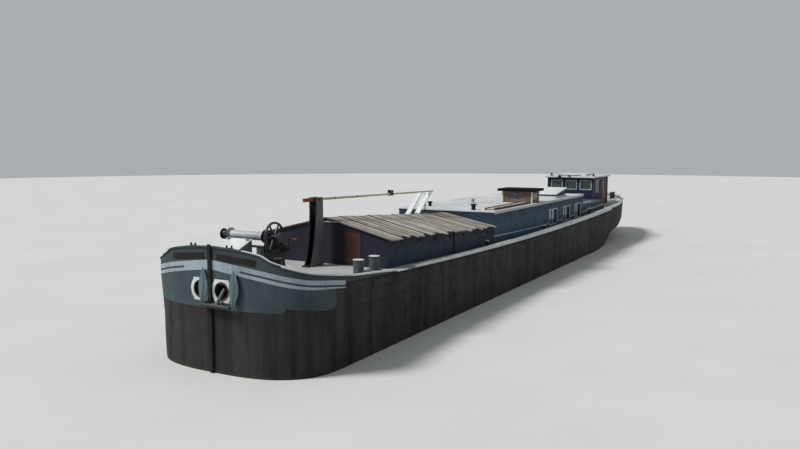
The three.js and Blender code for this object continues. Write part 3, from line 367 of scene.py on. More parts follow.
class Shape:
    """The points and faces of one mesh, with the number of a finish for each face."""

    def __init__(self):
        self.points, self.faces, self.finishes = [], [], []

    def face(self, corners, finish):
        self.faces.append(corners)
        self.finishes.append(finish)

    def walls(self, sections, finish=0, ring=False):
        """Skins a row of closed sections that have the same number of points. Gives each one's first point."""
        size, count = len(sections[0]), len(sections)
        starts = [len(self.points) + i * size for i in range(count)]
        self.points += [tuple(p) for section in sections for p in section]
        for i in range(count if ring else count - 1):
            a, b = starts[i], starts[(i + 1) % count]
            for k in range(size):
                self.face((a + k, a + (k + 1) % size, b + (k + 1) % size, b + k), finish)
        return starts

    def loft(self, sections, finish=0, ring=False):
        """Skins a row of sections and closes its ends, or joins the last section to the first."""
        starts = self.walls(sections, finish, ring)
        for start in () if ring else (starts[0], starts[-1]):
            self.face(tuple(range(start, start + len(sections[0]))), finish)
        return self

    def box(self, x, y, z, finish=0):
        return self.loft([square(x[0], y, z), square(x[1], y, z)], finish)

    def block(self, aft, y, height, finish=0):
        """A box from distances aft of the stem and heights above the waterline."""
        return self.box((at(aft[1]), at(aft[0])), y, (above(height[0]), above(height[1])), finish)

    def lathe(self, origin, axis, profile, sides=32, finish=0):
        """A round form: its profile is rows of distance along the axis and radius."""
        along, origin = Vector(axis).normalized(), Vector(origin)
        loop = spokes(along, sides)
        return self.loft([[origin + along * d + p * max(r, 1e-4) for p in loop] for d, r in profile], finish)

    def rod(self, a, b, radius, end=None, sides=20, finish=0):
        way = Vector(b) - Vector(a)
        return self.lathe(a, way, [(0, radius), (way.length, radius if end is None else end)], sides, finish)

    def axle(self, x, y, z, radius, sides=20, finish=0):
        """A rod across the barge, from y[0] to y[1]."""
        return self.rod((x, y[0], z), (x, y[1], z), radius, None, sides, finish)

    def tube(self, path, radius, sides=10, finish=0, ring=False):
        """A round bar along a path."""
        path = [Vector(p) for p in path]
        rows, start = [], None
        for i, p in enumerate(path):
            before = path[i - 1] if ring or i else p
            after = path[(i + 1) % len(path)] if ring or i + 1 < len(path) else p
            loop = spokes((after - before).normalized(), sides, start)
            start = loop[0]
            rows.append([p + way * radius for way in loop])
        return self.loft(rows, finish, ring)

    def ring(self, centre, axis, radius, thick, steps):
        """A round bar bent into a hoop."""
        path = [Vector(centre) + way * radius for way in spokes(Vector(axis).normalized(), steps)]
        return self.tube(path, thick, 12, ring=True)

    def sheet(self, grid, inward):
        """A closed thin plate: a grid of points and, behind each, a point moved by inward(row, column)."""
        backs = [[p + inward(i, k) for k, p in enumerate(row)] for i, row in enumerate(grid)]
        return self.loft([row + back[::-1] for row, back in zip(grid, backs)])


def finished(piece, finishes, bevel):
    for finish in finishes:
        piece.data.materials.append(finish)
    piece.data.shade_smooth()
    piece.data.set_sharp_from_angle(angle=SHARP)
    if bevel:
        edge = piece.modifiers.new("edges", "BEVEL")
        edge.width, edge.segments = bevel, 2
        edge.limit_method, edge.angle_limit = "ANGLE", SHARP
        edge.harden_normals = edge.use_clamp_overlap = True
    return piece


def placed(name, mesh, body, replaces):
    piece = linked(name, mesh)
    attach(piece, body)
    if replaces:
        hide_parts(*replaces)
    return piece


def mesh_of(name, shape):
    """A Shape's mesh, its faces turned outwards, without double points and empty faces."""
    mesh = bpy.data.meshes.new(name)
    mesh.from_pydata(shape.points, [], shape.faces)
    for polygon, finish in zip(mesh.polygons, shape.finishes):
        polygon.material_index = finish
    work = bmesh.new()
    work.from_mesh(mesh)
    bmesh.ops.remove_doubles(work, verts=work.verts, dist=1e-5)
    flat = [f for f in work.faces if f.calc_area() < 1e-9]
    bmesh.ops.delete(work, geom=flat, context="FACES_ONLY")
    bmesh.ops.recalc_face_normals(work, faces=work.faces)
    work.to_mesh(mesh)
    work.free()
    return mesh


def piece(name, shape, finishes, slot, bevel=0.0, body="hull", replaces=(), cutters=()):
    """Makes a Shape into an object that rides on a body. replaces names the nodes that it stands for."""
    made = placed(name, mesh_of(name, shape), body, replaces)
    for cutter in cutters:
        carve(made, cutter)
    return finished(made, finishes, bevel)


def carve(target, shape):
    cutter = linked("cutter", mesh_of("cutter", shape))
    change = target.modifiers.new("carve", "BOOLEAN")
    change.operation, change.solver, change.object = "DIFFERENCE", "EXACT", cutter
    bpy.context.view_layer.update()
    ready = target.evaluated_get(bpy.context.evaluated_depsgraph_get())
    mesh = bpy.data.meshes.new_from_object(ready)
    target.modifiers.clear()
    old, target.data = target.data, mesh
    bpy.data.meshes.remove(old)
    bpy.data.objects.remove(cutter)


def dress(node, finishes, bevel=0.004, body="hull", sort=None):
    """A copy of a node's own form with softened edges. sort picks a finish from a face's centre and normal."""
    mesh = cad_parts[node].data.copy()
    mesh.materials.clear()
    work = bmesh.new()
    work.from_mesh(mesh)
    bmesh.ops.remove_doubles(work, verts=work.verts, dist=1e-5)
    angle = math.radians(0.5)
    bmesh.ops.dissolve_limit(work, angle_limit=angle, verts=work.verts, edges=work.edges, delimit={"NORMAL"})
    for face in work.faces:
        face.material_index = sort(face.calc_center_median(), face.normal) if sort else 0
    work.to_mesh(mesh)
    work.free()
    return finished(placed(node + "_surface", mesh, body, [node]), finishes, bevel)


# Hull

# z, half breadth, then for each end where it is aft of the stem, how long and how full its rounding is
LEVELS = (
    (0.00, 2.160, 0.330, 2.60, 2.50, 32.00, 8.80, 1.60),
    (0.11, 2.370, 0.130, 2.40, 2.60, 32.30, 8.60, 1.60),
    (0.32, 2.480, 0.040, 2.15, 2.75, 32.70, 8.40, 1.65),
    (0.62, 2.495, 0.000, 1.95, 2.85, 33.10, 8.20, 1.70),
    (1.18, 2.495, 0.000, 1.80, 2.80, 33.70, 7.40, 1.80),
    (1.42, 2.495, 0.000, 1.70, 2.70, 35.70, 7.60, 1.80),
    (1.75, 2.495, 0.000, 1.60, 2.60, 36.35, 7.60, 1.80),
)
DECK_LEVEL = (2.495, 0.0, 1.45, 2.7, 36.5, 7.5, 1.84)
KNUCKLE = LEVELS[-1][0]
SHEER_LOW, DECK_LOW, BOW_SHEER, STERN_SHEER = 17.0, 1.75, 0.40, 0.45
END_STEPS, MIDDLE_STEPS, TOP_STEPS = 56, 44, 4
# steps for the side's slope, the runs that count as the stem, how far a plate's back lies inside the side
NEAR_RUN, NEAR_Z, NEAR_STEM, SUNK = 0.06, 0.04, 0.5, 0.012


def deck_z(x):
    aft = BOW_X - x
    rise, run = (BOW_SHEER, SHEER_LOW) if aft < SHEER_LOW else (STERN_SHEER, LENGTH - SHEER_LOW)
    return above(DECK_LOW + rise * ((aft - SHEER_LOW) / run) ** 2)


def half_outline(half, bow, bow_length, bow_full, stern, stern_length, stern_full):
    """The port half of a level, from the stem to the stern."""
    def end(length, full):
        turns = [i / END_STEPS * math.pi / 2 for i in range(END_STEPS + 1)]
        return [(length * (1 - math.cos(t) ** (2 / full)), half * math.sin(t) ** (2 / full)) for t in turns]

    bow_end = [(at(bow + reach), y) for reach, y in end(bow_length, bow_full)]
    stern_end = [(at(stern - reach), y) for reach, y in end(stern_length, stern_full)]
    start, stop = bow_end[-1][0], stern_end[-1][0]
    middle = [(start + (stop - start) * i / MIDDLE_STEPS, half) for i in range(1, MIDDLE_STEPS)]
    return bow_end + middle + stern_end[::-1]


def level(z):
    columns = [[(row[0], row[k]) for row in LEVELS] for k in range(1, len(LEVELS[0]))]
    return [Vector((x, y, z)) for x, y in half_outline(*[curve(column, z) for column in columns])]


EDGE = [Vector((x, y, deck_z(x))) for x, y in half_outline(*DECK_LEVEL)]
KNEE = level(KNUCKLE)
RUNS = [0.0]
for a, b in zip(EDGE, EDGE[1:]):
    RUNS.append(RUNS[-1] + math.hypot(b.x - a.x, b.y - a.y))
HEIGHTS = [0, 0.03, 0.07, 0.11, 0.17, 0.24, 0.32, 0.42, 0.52, 0.62, 0.80, 1.00, 1.18, 1.24, 1.30, 1.36, 1.42,
           1.50, 1.62, KNUCKLE]
RINGS = [level(z) for z in HEIGHTS]


def interval(row, value):
    """Where a value lies in a rising row: the number of the place before it and its share of the way on."""
    i = next(k for k in range(1, len(row)) if value <= row[k] or k == len(row) - 1)
    return i - 1, (value - row[i - 1]) / (row[i] - row[i - 1])


def skin(run, z):
    """The point of the hull's side at a distance round the deck's edge from the stem. Port is positive.

    Above the deck's edge the side goes straight up."""
    i, share = interval(RUNS, abs(run))

    def on(line):
        return line[i].lerp(line[i + 1], share)

    point = on(EDGE)
    if KNUCKLE <= z < point.z:
        point = on(KNEE).lerp(point, (z - KNUCKLE) / (point.z - KNUCKLE))
    elif z < KNUCKLE:
        k, part = interval(HEIGHTS, z)
        point = on(RINGS[k]).lerp(on(RINGS[k + 1]), part)
    return Vector((point.x, math.copysign(point.y, run), max(point.z, z)))


def outward(run, z):
    """The way out from the hull's side."""
    ahead = skin(run + NEAR_RUN, z) - skin(run - NEAR_RUN, z)
    rise = skin(run, z + NEAR_Z) - skin(run, z - NEAR_Z)
    out, here = ahead.cross(rise).normalized(), skin(run, z)
    # away from the centreline, and near the stem also ahead
    faces_out = out.dot(Vector((here.x * 0.02, here.y, 0))) > 0 or abs(run) < NEAR_STEM and out.x > 0
    return out if faces_out else -out


def hull_shape():
    """The plating up to the deck's edge, closed by the flat bottom and by the deck."""
    rings = RINGS + [[a.lerp(b, k / TOP_STEPS) for a, b in zip(KNEE, EDGE)] for k in range(1, TOP_STEPS + 1)]
    shape = Shape()
    starts = shape.walls([ring + [Vector((p.x, -p.y, p.z)) for p in ring[-2:0:-1]] for ring in rings])
    size = starts[1] - starts[0]
    for base, finish in ((starts[0], 0), (starts[-1], 1)):
        for k in range(len(EDGE) - 1):
            shape.face((base + k, base + k + 1, base + size - k - 1, base + (size - k) % size), finish)
    return shape


HAWSE_Y, HAWSE_Z, HAWSE_R = 0.33, above(1.98), 0.19
STOCK_X = at(34.95)
hawse_cuts = [
    Shape().rod((at(-0.06), y, HAWSE_Z), (at(0.30), y, HAWSE_Z), HAWSE_R, sides=48) for y in (HAWSE_Y, -HAWSE_Y)
]
well_cut = Shape().block((28.86, 31.94), (-1.26, 1.26), (1.45, 2.6))
stock_cut = Shape().rod((STOCK_X, 0, 1.0), (STOCK_X, 0, 1.91), 0.066, sides=32)
piece("hull_plating", hull_shape(), [TAR, DECK], "tar", replaces=["hull"],
      cutters=[*hawse_cuts, well_cut, stock_cut])

SHAFT_Z = 0.58
STERN_TUBE = [(0, 0), (0, 0.066), (-0.24, 0.066), (-0.24, 0.13), (-0.16, 0.135), (1.9, 0.26), (1.9, 0)]
keel = Shape().box((at(33.5), at(31.0)), (-0.07, 0.07), (0, 1.1))
keel.box((at(35.45), at(31.9)), (-0.09, 0.09), (0, 0.11))
keel.lathe((at(33.5), 0, SHAFT_Z), AHEAD, STERN_TUBE, 40)
piece("keel_end", keel, [TAR], "tar", 0.008)

strakes = Shape()
for sign in SIGNS:
    y = (sign * 2.47, sign * 2.525)
    strakes.loft([square(x, y, (deck_z(x) - 0.06, deck_z(x) - 0.25)) for x in spread(at(29.0), at(3.2), 0.6)])
piece("rubbing_strakes", strakes, [TAR], "tar", 0.012)


def plate(shape, places, proud):
    """A thin plate on the hull's side, over a grid of places, each a run and a height."""
    ways = [[outward(*place) for place in row] for row in places]
    grid = [[skin(*place) + way * proud for place, way in zip(*rows)] for rows in zip(places, ways)]
    return shape.sheet(grid, lambda i, k: ways[i][k] * -(proud + SUNK))


def band(shape, runs, low, high, proud, rows=3):
    """A plate between two lines, each giving a height for a run."""
    shares = [k / rows for k in range(rows + 1)]
    return plate(shape, [[(r, low(r) + (high(r) - low(r)) * share) for share in shares] for r in runs], proud)


def run_at(x, z):
    """The distance round the deck's edge where the side has this X at this height."""
    return bisect(0.0, RUNS[-1], 24, lambda run: skin(run, z).x > x)


def upright_plate(shape, sign, places_aft, heights, proud):
    """A plate with upright ends, on one side."""
    return plate(shape, [[(sign * run_at(at(aft), z), z) for z in heights] for aft in places_aft], proud)


def line(table, shift=0.0):
    """Heights above the water, the same on both sides. The table gives them for runs from the stem."""
    return lambda run: above(curve(table, abs(run))) + shift


BAND_TOP = [(0, 2.70), (0.875, 2.60), (1.464, 2.51), (2.00, 2.40), (2.51, 2.305), (3.126, 2.227), (3.776, 2.13)]
BAND_LOW = [(0, 2.475), (0.864, 2.366), (1.464, 2.268), (1.989, 2.161), (2.51, 2.081), (3.125, 2.023),
            (3.776, 1.945)]
PANEL_LOW = [(0, 1.55), (1.904, 1.55), (1.989, 1.65), (3.11, 1.535), (3.346, 1.63)]
PANEL_END, BAND_START, BAND_END, BAND_STEP = 3.346, 0.875, 3.776, 0.06
corners = [run for run, _ in PANEL_LOW[1:-1]]
panel_runs = sorted({*spread(-PANEL_END, PANEL_END, BAND_STEP), *corners, *[-run for run in corners]})
panel = band(Shape(), panel_runs, line(PANEL_LOW), line(BAND_LOW, -0.002), 0.003, 6)
piece("bow_panel", panel, [PANEL], "grey", cutters=hawse_cuts)
bow_band = band(Shape(), spread(-BAND_END, BAND_END, BAND_STEP), line(BAND_LOW), line(BAND_TOP), 0.005)
piece("bow_band", bow_band, [BAND], "white")
band_line = Shape()
for sign in SIGNS:
    runs = spread(sign * BAND_START, sign * BAND_END, sign * BAND_STEP)
    band(band_line, runs, line(BAND_TOP, -0.158), line(BAND_TOP, -0.110), 0.007, 1)
piece("bow_band_line", band_line, [BULWARK], "grey")


def bow_point(y, z, proud):
    """The point of the bow at a distance off the centreline, moved out by proud."""
    run = math.copysign(bisect(0.0, 3.0, 30, lambda run: skin(run, z).y < abs(y)), y)
    return skin(run, z) + outward(run, z) * proud


PATCH_SQUARE, PATCH_TALL, PATCH_BULGE = 0.22, 0.27, 0.31


def hawse_patch(sign):
    """The white patch round a hawse hole, bulged at the sides and cut square above and below, and the lip."""
    def place(reach, rise, side, proud):
        return bow_point(sign * HAWSE_Y + reach * side, HAWSE_Z + reach * rise, proud)

    rows = []
    for rise, side in circle(72):
        over = PATCH_TALL / max(abs(rise), 1e-6)
        outer = min(over, max(PATCH_SQUARE / max(abs(side), 1e-6), PATCH_BULGE))
        start = HAWSE_R + 0.002
        front = [place(start + (outer - start) * n / 3, rise, side, 0.007) for n in range(4)]
        rows.append(front + [p - Vector((0.02, 0, 0)) for p in front[::-1]])
    lip = [place(0.2, rise, side, 0.010) for rise, side in circle(48)]
    return Shape().loft(rows, ring=True).tube(lip, 0.016, 10, 1, ring=True)


for side, sign in SIDES:
    piece(f"hawse_patch_{side}", hawse_patch(sign), [WHITE, BULWARK], "white")

# Seams and doubler plates of the side

STRAP, MID_SIDE, SEAM_WIRE = 0.07, 2.0, 0.007
SEAMS = (2.15, 3.10, 5.2, 7.3, 9.7, 12.0, 14.0, 15.6, 18.2, 21.0, 23.8, 26.6, 29.4, 32.2)
# from a run, to a run, how far below the deck
LONG_SEAMS = ((4.2, 12.5, 0.62), (12.5, 20.5, 0.70), (20.5, 30.0, 0.66))
# aft of the stem, length, foot and head above the water
DOUBLERS = ((7.9, 0.7, 0.75, 1.30), (12.3, 0.8, 0.5, 1.2), (18.4, 0.9, 0.6, 1.15), (24.1, 0.7, 0.5, 1.1),
            (4.4, 0.5, 0.9, 1.35))
seams, doublers = Shape(), Shape()
for sign in SIGNS:
    for aft in SEAMS:
        heights = spread(above(-0.3), deck_z(at(aft)) - 0.27, 0.12)
        upright_plate(seams, sign, about(aft, STRAP / 2), heights, 0.006)
    for run_from, run_to, drop in LONG_SEAMS:
        places = [(sign * r, deck_z(skin(r, MID_SIDE).x) - drop) for r in spread(run_from, run_to, 0.3)]
        seams.tube([skin(*place) + outward(*place) * 0.003 for place in places], SEAM_WIRE, 6)
    for aft, length, low, high in DOUBLERS:
        heights = spread(above(low), above(high), 0.12)
        upright_plate(doublers, sign, spread(aft, aft + length, 0.1), heights, 0.006)
piece("plate_seams", seams, [SEAM], "tar", 0.002)
piece("doubler_plates", doublers, [TAR], "tar", 0.002)

# Bulwarks and rails

BOW_RAIL = (
    (0, 3.020), (0.72, 2.980), (1.38, 2.875), (1.65, 2.735), (2.00, 2.630), (2.52, 2.490), (3.14, 2.380),
    (3.76, 2.280), (4.42, 2.195), (5.01, 2.150), (6.70, 2.000),
)
BOW_REACH, STERN_REACH = 6.3, 8.9
CAP, CAP_OUT, CAP_IN, WALL_IN = 0.045, 0.025, -0.075, -0.05
STERN_RAIL, STERN_BLACK = 0.21, 0.075
# a height above every rail, where the side is upright
OVERHEAD = 9.0
# the runs from where the bow cap's outer face and its top are white
CAP_WHITE_FROM = {0: 1.85, 1: 0.87}

bow_rail, bow_rail_foot = line(BOW_RAIL), line(BOW_RAIL, -CAP)


def edge_row(run):
    """The deck's edge at Z = 0, the level way out from it and the way along it."""
    point, out = skin(run, OVERHEAD), outward(run, OVERHEAD)
    out = Vector((out.x, out.y, 0)).normalized()
    return Vector((point.x, point.y, 0)), out, Vector((-out.y, out.x, 0))


def rail_strip(shape, runs, outer, inner, low, high, finish=0):
    """A strip along the deck's edge. low and high are lines over runs, or heights over the deck."""
    rows = []
    for run in runs:
        point, out, _ = edge_row(run)
        row = []
        for reach, height in ((outer, low), (outer, high), (inner, high), (inner, low)):
            p = point + out * reach
            row.append(p + up(height(run) if callable(height) else deck_z(p.x) + height))
        rows.append(row)
    return shape.loft(rows, finish)


bow_runs = spread(-BOW_REACH, BOW_REACH, 0.07)
stern_runs = [RUNS[-1] - run for run in spread(STERN_REACH, 0.001, -0.1)]
wall = rail_strip(Shape(), bow_runs, 0, WALL_IN, -0.02, bow_rail_foot)
piece("bow_bulwark_plating", wall, [BULWARK], "grey", 0.004, replaces=["bow_bulwark"])
cap = rail_strip(Shape(), bow_runs, CAP_OUT, CAP_IN, bow_rail_foot, bow_rail)
for index in range(len(cap.faces)):
    run = abs(bow_runs[min(index // 4, len(bow_runs) - 1)])
    cap.finishes[index] = 0 if run > CAP_WHITE_FROM.get(index % 4, math.inf) else 1
piece("bow_cap", cap, [WHITE, BULWARK], "white", 0.010, replaces=["bow_cap_rail"])
stern_wall, stern_cap = Shape(), Shape()
for sign in SIGNS:
    runs = [sign * run for run in stern_runs]
    rail_strip(stern_wall, runs, 0, WALL_IN, -0.02, STERN_BLACK, 1)
    rail_strip(stern_wall, runs, 0, WALL_IN, STERN_BLACK, STERN_RAIL - CAP)
    rail_strip(stern_cap, runs, CAP_OUT, CAP_IN, STERN_RAIL - CAP, STERN_RAIL)
piece("stern_bulwark_plating", stern_wall, [WHITE, TAR], "white", 0.004, replaces=["stern_bulwark"])
piece("stern_cap", stern_cap, [WHITE], "white", 0.014, replaces=["stern_cap_rail"])

for side, sign in SIDES:
    y, rows = (sign * 2.405, sign * 2.493), []
    for x in spread(at(28.34), at(5.5), 0.5):
        tall = 0.07 + 0.12 * min(1, (at(5.5) - x) / 14.5)
        rows.append(square(x, y, (deck_z(x) - 0.03, deck_z(x) + tall)))
    node = f"toe_rail_{side}"
    piece(f"{node}_plating", Shape().loft(rows), [WHITE], "white", 0.012, replaces=[node])

knees = Shape()
for sign in SIGNS:
    for run in spread(0.93, 6.1, 0.72):
        point, out, along = edge_row(sign * run)
        low, high = deck_z(point.x) - 0.01, bow_rail_foot(run) - 0.01
        outline = ((-0.048, low), (-0.048, high), (-0.085, high), (-0.24, low))  # narrow above, wide below
        face = [point + out * reach + up(z) for reach, z in outline]
        knees.loft([[p + along * half for p in face] for half in (0.006, -0.006)])
piece("bulwark_knees", knees, [BULWARK], "grey", 0.002)

boards = Shape()
for sign in SIGNS:
    runs = spread(sign * 0.2, sign * 1.28, sign * 0.05)
    band(boards, runs, lambda r: above(2.735 - 0.09 * abs(r)), lambda r: above(2.875 - 0.09 * abs(r)), 0.014, 2)
piece("name_boards", boards, [BLACK], "iron", 0.004)

FAIRLEAD_RUN = 0.56
fairleads = Shape()
for sign in SIGNS:
    point, out, along = edge_row(sign * FAIRLEAD_RUN)
    base = point - out * 0.025 + up(bow_rail(FAIRLEAD_RUN))
    for shift in (-0.07, 0.07):
        fairleads.rod(base + along * shift - up(0.01), base + along * shift + up(0.07), 0.022)
    fairleads.tube([base + along * shift + up(0.005) for shift in (-0.11, 0.11)], 0.014)
piece("bow_fairleads", fairleads, [IRON], "iron", 0.003)

dress("stem_bar", [BLACK], 0.012)

# Anchor

CROWN_Z, ANCHOR_Y, BAR_X = above(1.65), 0.27, at(-0.146)
LEAF_W, LEAF_H, LEAF_Y = 0.145, 0.85, 0.47
# off the bar's middle, half its height, half its depth
BAR_ROWS = ((0.12, 0.043, 0.071), (0.3, 0.038, 0.066), (0.43, 0.033, 0.058), (0.45, 0.022, 0.042))
# share of the fluke's height, share of its width, how far forward its middle is, thickness
FLUKE_ROWS = (
    (-0.05, 0.34, 0.100, 0.050), (0.02, 0.40, 0.098, 0.048), (0.12, 0.50, 0.085, 0.044),
    (0.22, 0.70, 0.070, 0.040), (0.34, 0.92, 0.058, 0.036), (0.46, 1.00, 0.050, 0.032),
    (0.60, 0.93, 0.046, 0.027), (0.74, 0.74, 0.044, 0.022), (0.86, 0.50, 0.044, 0.017),
    (0.95, 0.24, 0.046, 0.012), (0.995, 0.05, 0.047, 0.006),
)
RIBBED = ((-1, 0.1), (-0.7, 0.42), (-0.26, 0.55), (-0.15, 1), (0.15, 1), (0.26, 0.55), (0.7, 0.42), (1, 0.1),
          (0.6, -0.5), (-0.6, -0.5))
soft = [(math.copysign(abs(c) ** 0.55, c), math.copysign(abs(s) ** 0.55, s)) for c, s in circle(20, 0.5)]
anchor, rows = Shape(), []
for y, half, deep in [(-y, half, deep) for y, half, deep in BAR_ROWS[::-1]] + list(BAR_ROWS):
    rows.append([(BAR_X + deep * c, ANCHOR_Y + y, CROWN_Z + half * s) for c, s in soft])
anchor.loft(rows, 1)
for sign in SIGNS:
    rows = []
    for share, width, forward, thick in FLUKE_ROWS:
        w, z, y = LEAF_W * width, CROWN_Z + LEAF_H * share, ANCHOR_Y + sign * LEAF_Y
        rows.append([(BOW_X + forward + thick * p, y + w * k, z) for k, p in RIBBED])
    anchor.loft(rows)
anchor.rod((at(-0.15), ANCHOR_Y, CROWN_Z), (at(0.08), HAWSE_Y + 0.015, HAWSE_Z + 0.04), 0.046, 0.038, finish=2)
anchor.axle(BAR_X, about(ANCHOR_Y, 0.09), CROWN_Z, 0.066, 28, 1)
piece("anchor_surface", anchor, [FLUKE, IRON, DULL], "grey", 0.004, replaces=["anchor"])

# Forepeak hood and windlass

dress("forepeak_hood", [DULL], 0.008)
dress("forepeak_lid", [WHITE], 0.008, "forepeak_lid")
straps = Shape()
for y in (-0.66, -0.04):
    straps.block((1.30, 1.395), about(y, 0.05), (3.02, 3.024))
piece("forepeak_lid_straps", straps, [DULL], "grey", 0.001, "forepeak_lid")
dress("windlass_frame", [IRON], 0.006)

WINDLASS_X, WINDLASS_Z = at(1.73), above(3.07)
PINION_X, PINION_Z = WINDLASS_X - 0.39, WINDLASS_Z - 0.335
GEAR_Y, TOOTH = 0.5, 0.016


def wheel(shape, centre, radius, rim, wide, arms, hub, teeth=0):
    """A cast wheel on the Y axis: a rim with a rib inside, tapered arms, a hub, and teeth if it has them."""
    half, outer = wide / 2, radius - (TOOTH if teeth else 0)

    def place(c, s, reach, side, y):
        return Vector(centre) + Vector((reach * c - side * s, y, reach * s + side * c))

    def taper(c, s, *rows):
        """A bar out from the axle. Each row is a distance, half the bar's width and half its depth."""
        shape.loft([[place(c, s, r, w * i, d * j) for i, j in ((-1, -1), (1, -1), (1, 1), (-1, 1))]
                    for r, w, d in rows])

    inner, rib = radius - rim, half * 0.3
    section = [(-half, outer), (half, outer), (half, outer - rim * 0.45), (rib, outer - rim * 0.5),
               (rib, inner), (-rib, inner), (-rib, outer - rim * 0.5), (-half, outer - rim * 0.45)]
    shape.loft([[place(c, s, r, 0, y) for y, r in section] for c, s in circle(64)], ring=True)
    for c, s in circle(arms):
        taper(c, s, (hub * 0.7, 0.032, 0.018), (radius - rim * 0.8, 0.020, 0.011))
    ends = ((-0.6, 0.8), (-0.5, 1), (0.5, 1), (0.6, 0.8))
    shape.lathe(centre, ACROSS, [(wide * y, hub * r) for y, r in ends])
    for c, s in circle(teeth, 0.5):
        pitch = math.pi * radius / teeth
        taper(c, s, (outer - 0.004, pitch * 0.62, half), (radius, pitch * 0.34, half))


DRUM_PROFILE = [
    (-1.18, 0), (-1.18, 0.13), (-1.172, 0.14), (-1.15, 0.14), (-1.145, 0.10), (-1.10, 0.086), (-1.05, 0.088),
    (-1.02, 0.095), (-1.018, 0.048), (-0.942, 0.048), (-0.94, 0.165), (-0.935, 0.17), (-0.905, 0.17),
    (-0.90, 0.165), (-0.898, 0.11), (0.198, 0.11), (0.20, 0.165), (0.205, 0.17), (0.23, 0.17), (0.235, 0.165),
    (0.237, 0.12), (0.298, 0.12), (0.30, 0.165), (0.305, 0.17), (0.33, 0.17), (0.335, 0.165), (0.337, 0.048),
    (0.568, 0.048), (0.57, 0.095), (0.61, 0.086), (0.66, 0.088), (0.695, 0.10), (0.70, 0.14), (0.722, 0.14),
    (0.73, 0.13), (0.73, 0),
]
BARREL = (-0.9, 0.2)
drum = Shape().lathe((WINDLASS_X, 0, WINDLASS_Z), ACROSS, DRUM_PROFILE, 40)
for index, corners in enumerate(drum.faces):
    middle = sum(drum.points[i][1] for i in corners) / len(corners)
    drum.finishes[index] = 1 if BARREL[0] < middle < BARREL[1] else 0
wheel(drum, (WINDLASS_X, GEAR_Y, WINDLASS_Z), 0.385, 0.055, 0.06, 6, 0.08, 64)
piece("windlass_drum_surface", drum, [IRON, PALE], "iron", 0.002, "windlass_drum", ["windlass_drum"])

GRIP = [(0, 0.012), (0.03, 0.012), (0.031, 0.018), (0.1, 0.021), (0.2, 0.018), (0.235, 0.020), (0.243, 0.012)]
pinion = Shape().axle(PINION_X, (-1.16, 0.67), PINION_Z, 0.034, 24)
wheel(pinion, (PINION_X, GEAR_Y, PINION_Z), 0.115, 0.03, 0.06, 3, 0.05, 18)
wheel(pinion, (PINION_X, 0.1, PINION_Z), 0.3, 0.045, 0.05, 6, 0.06)
for end, inward, way in ((-1.16, 1, -1), (0.67, -1, 1)):
    arm_y = sorted((end, end + inward * 0.03))
    pinion.box(about(PINION_X, 0.024), arm_y, sorted((PINION_Z - way * 0.03, PINION_Z + way * 0.285)))
    grip = (PINION_X, end + inward * 0.015, PINION_Z + way * 0.26)
    pinion.lathe(grip, (0, -inward, 0), GRIP, 20, 1)
piece("windlass_pinion_surface", pinion, [IRON, VARNISH], "iron", 0.002, "windlass_pinion", ["windlass_pinion"])

# Bollards

# aft of the stem, off the centreline, half the distance between two posts, radius, height, finishes
BOLLARDS = {
    "tow_bollard": (1.02, 1.18, 0, 0.100, 0.58, (IRON, IRON)),
    "bow_bollard": (3.74, 1.95, 0.395, 0.140, 0.41, (BOLLARD, WHITE)),
    "quarter_bollard": (24.94, 2.18, 0, 0.090, 0.39, (IRON, WHITE)),
    "stern_bollard": (34.60, 1.00, 0.230, 0.100, 0.40, (IRON, WHITE)),
}


def bollard(x, y, apart, radius, tall):
    """One or two round posts with flat heads, on a foot plate with four bolts."""
    foot = deck_z(x)
    top, reach = foot + tall, apart + radius + 0.03
    low = min(deck_z(x + reach), deck_z(x - reach)) - 0.01
    shape = Shape().box(about(x, reach), about(y, radius + 0.02), (low, foot + 0.035))
    post = [(foot + 0.03, radius + 0.012), (foot + 0.042, radius), (top - 0.034, radius),
            (top - 0.030, radius + 0.012), (top - 0.006, radius + 0.014)]
    head = [(top - 0.0055, radius + 0.0135), (top - 0.001, radius + 0.006), (top, radius * 0.9), (top, 0)]
    for post_x in sorted({x - apart, x + apart}):
        shape.lathe((post_x, y, 0), UP, post, 48)
        shape.lathe((post_x, y, 0), UP, head, 48, 1)
    for bolt_x in about(x, reach - 0.02):
        for bolt_y in about(y, radius + 0.004):
            bolt = Vector((bolt_x, bolt_y, foot + 0.03))
            shape.rod(bolt, bolt + up(0.014), 0.011, sides=6)
    return shape


for name, (aft, y, apart, radius, tall, finishes) in BOLLARDS.items():
    for side, sign in SIDES:
        node = f"{name}_{side}"
        shape = bollard(at(aft), sign * y, apart, radius, tall)
        piece(f"{node}_surface", shape, finishes, "iron", 0.002, replaces=[node])

small = Shape()
for aft in (11.3, 17.6):
    for sign in SIGNS:
        foot = Vector((at(aft), sign * 2.24, deck_z(at(aft))))
        small.lathe(foot - up(0.005), UP, [(0, 0.085), (0.02, 0.08), (0.024, 0.05), (0.235, 0.05)])
        small.lathe(foot, UP, [(0.232, 0.062), (0.238, 0.066), (0.262, 0.062), (0.265, 0)], finish=1)
piece("side_bollards", small, [BLACK, WHITE], "iron", 0.002)

# Mast, tabernacle and crutch

dress("tabernacle", [DULL, BLACK], 0.008,
      sort=lambda centre, normal: 0 if abs(normal.y) > 0.9 and abs(centre.y) > 0.12 else 1)
dress("mast_crutch", [WHITE, IRON],
      sort=lambda centre, normal: 1 if abs(centre.y + 0.18) < 0.05 and centre.z < 4.2 else 0)

PIVOT = Vector((at(4.2), 0, above(3.85)))
MAST_WAY = Vector((-7.3, 0, -0.135)).normalized()
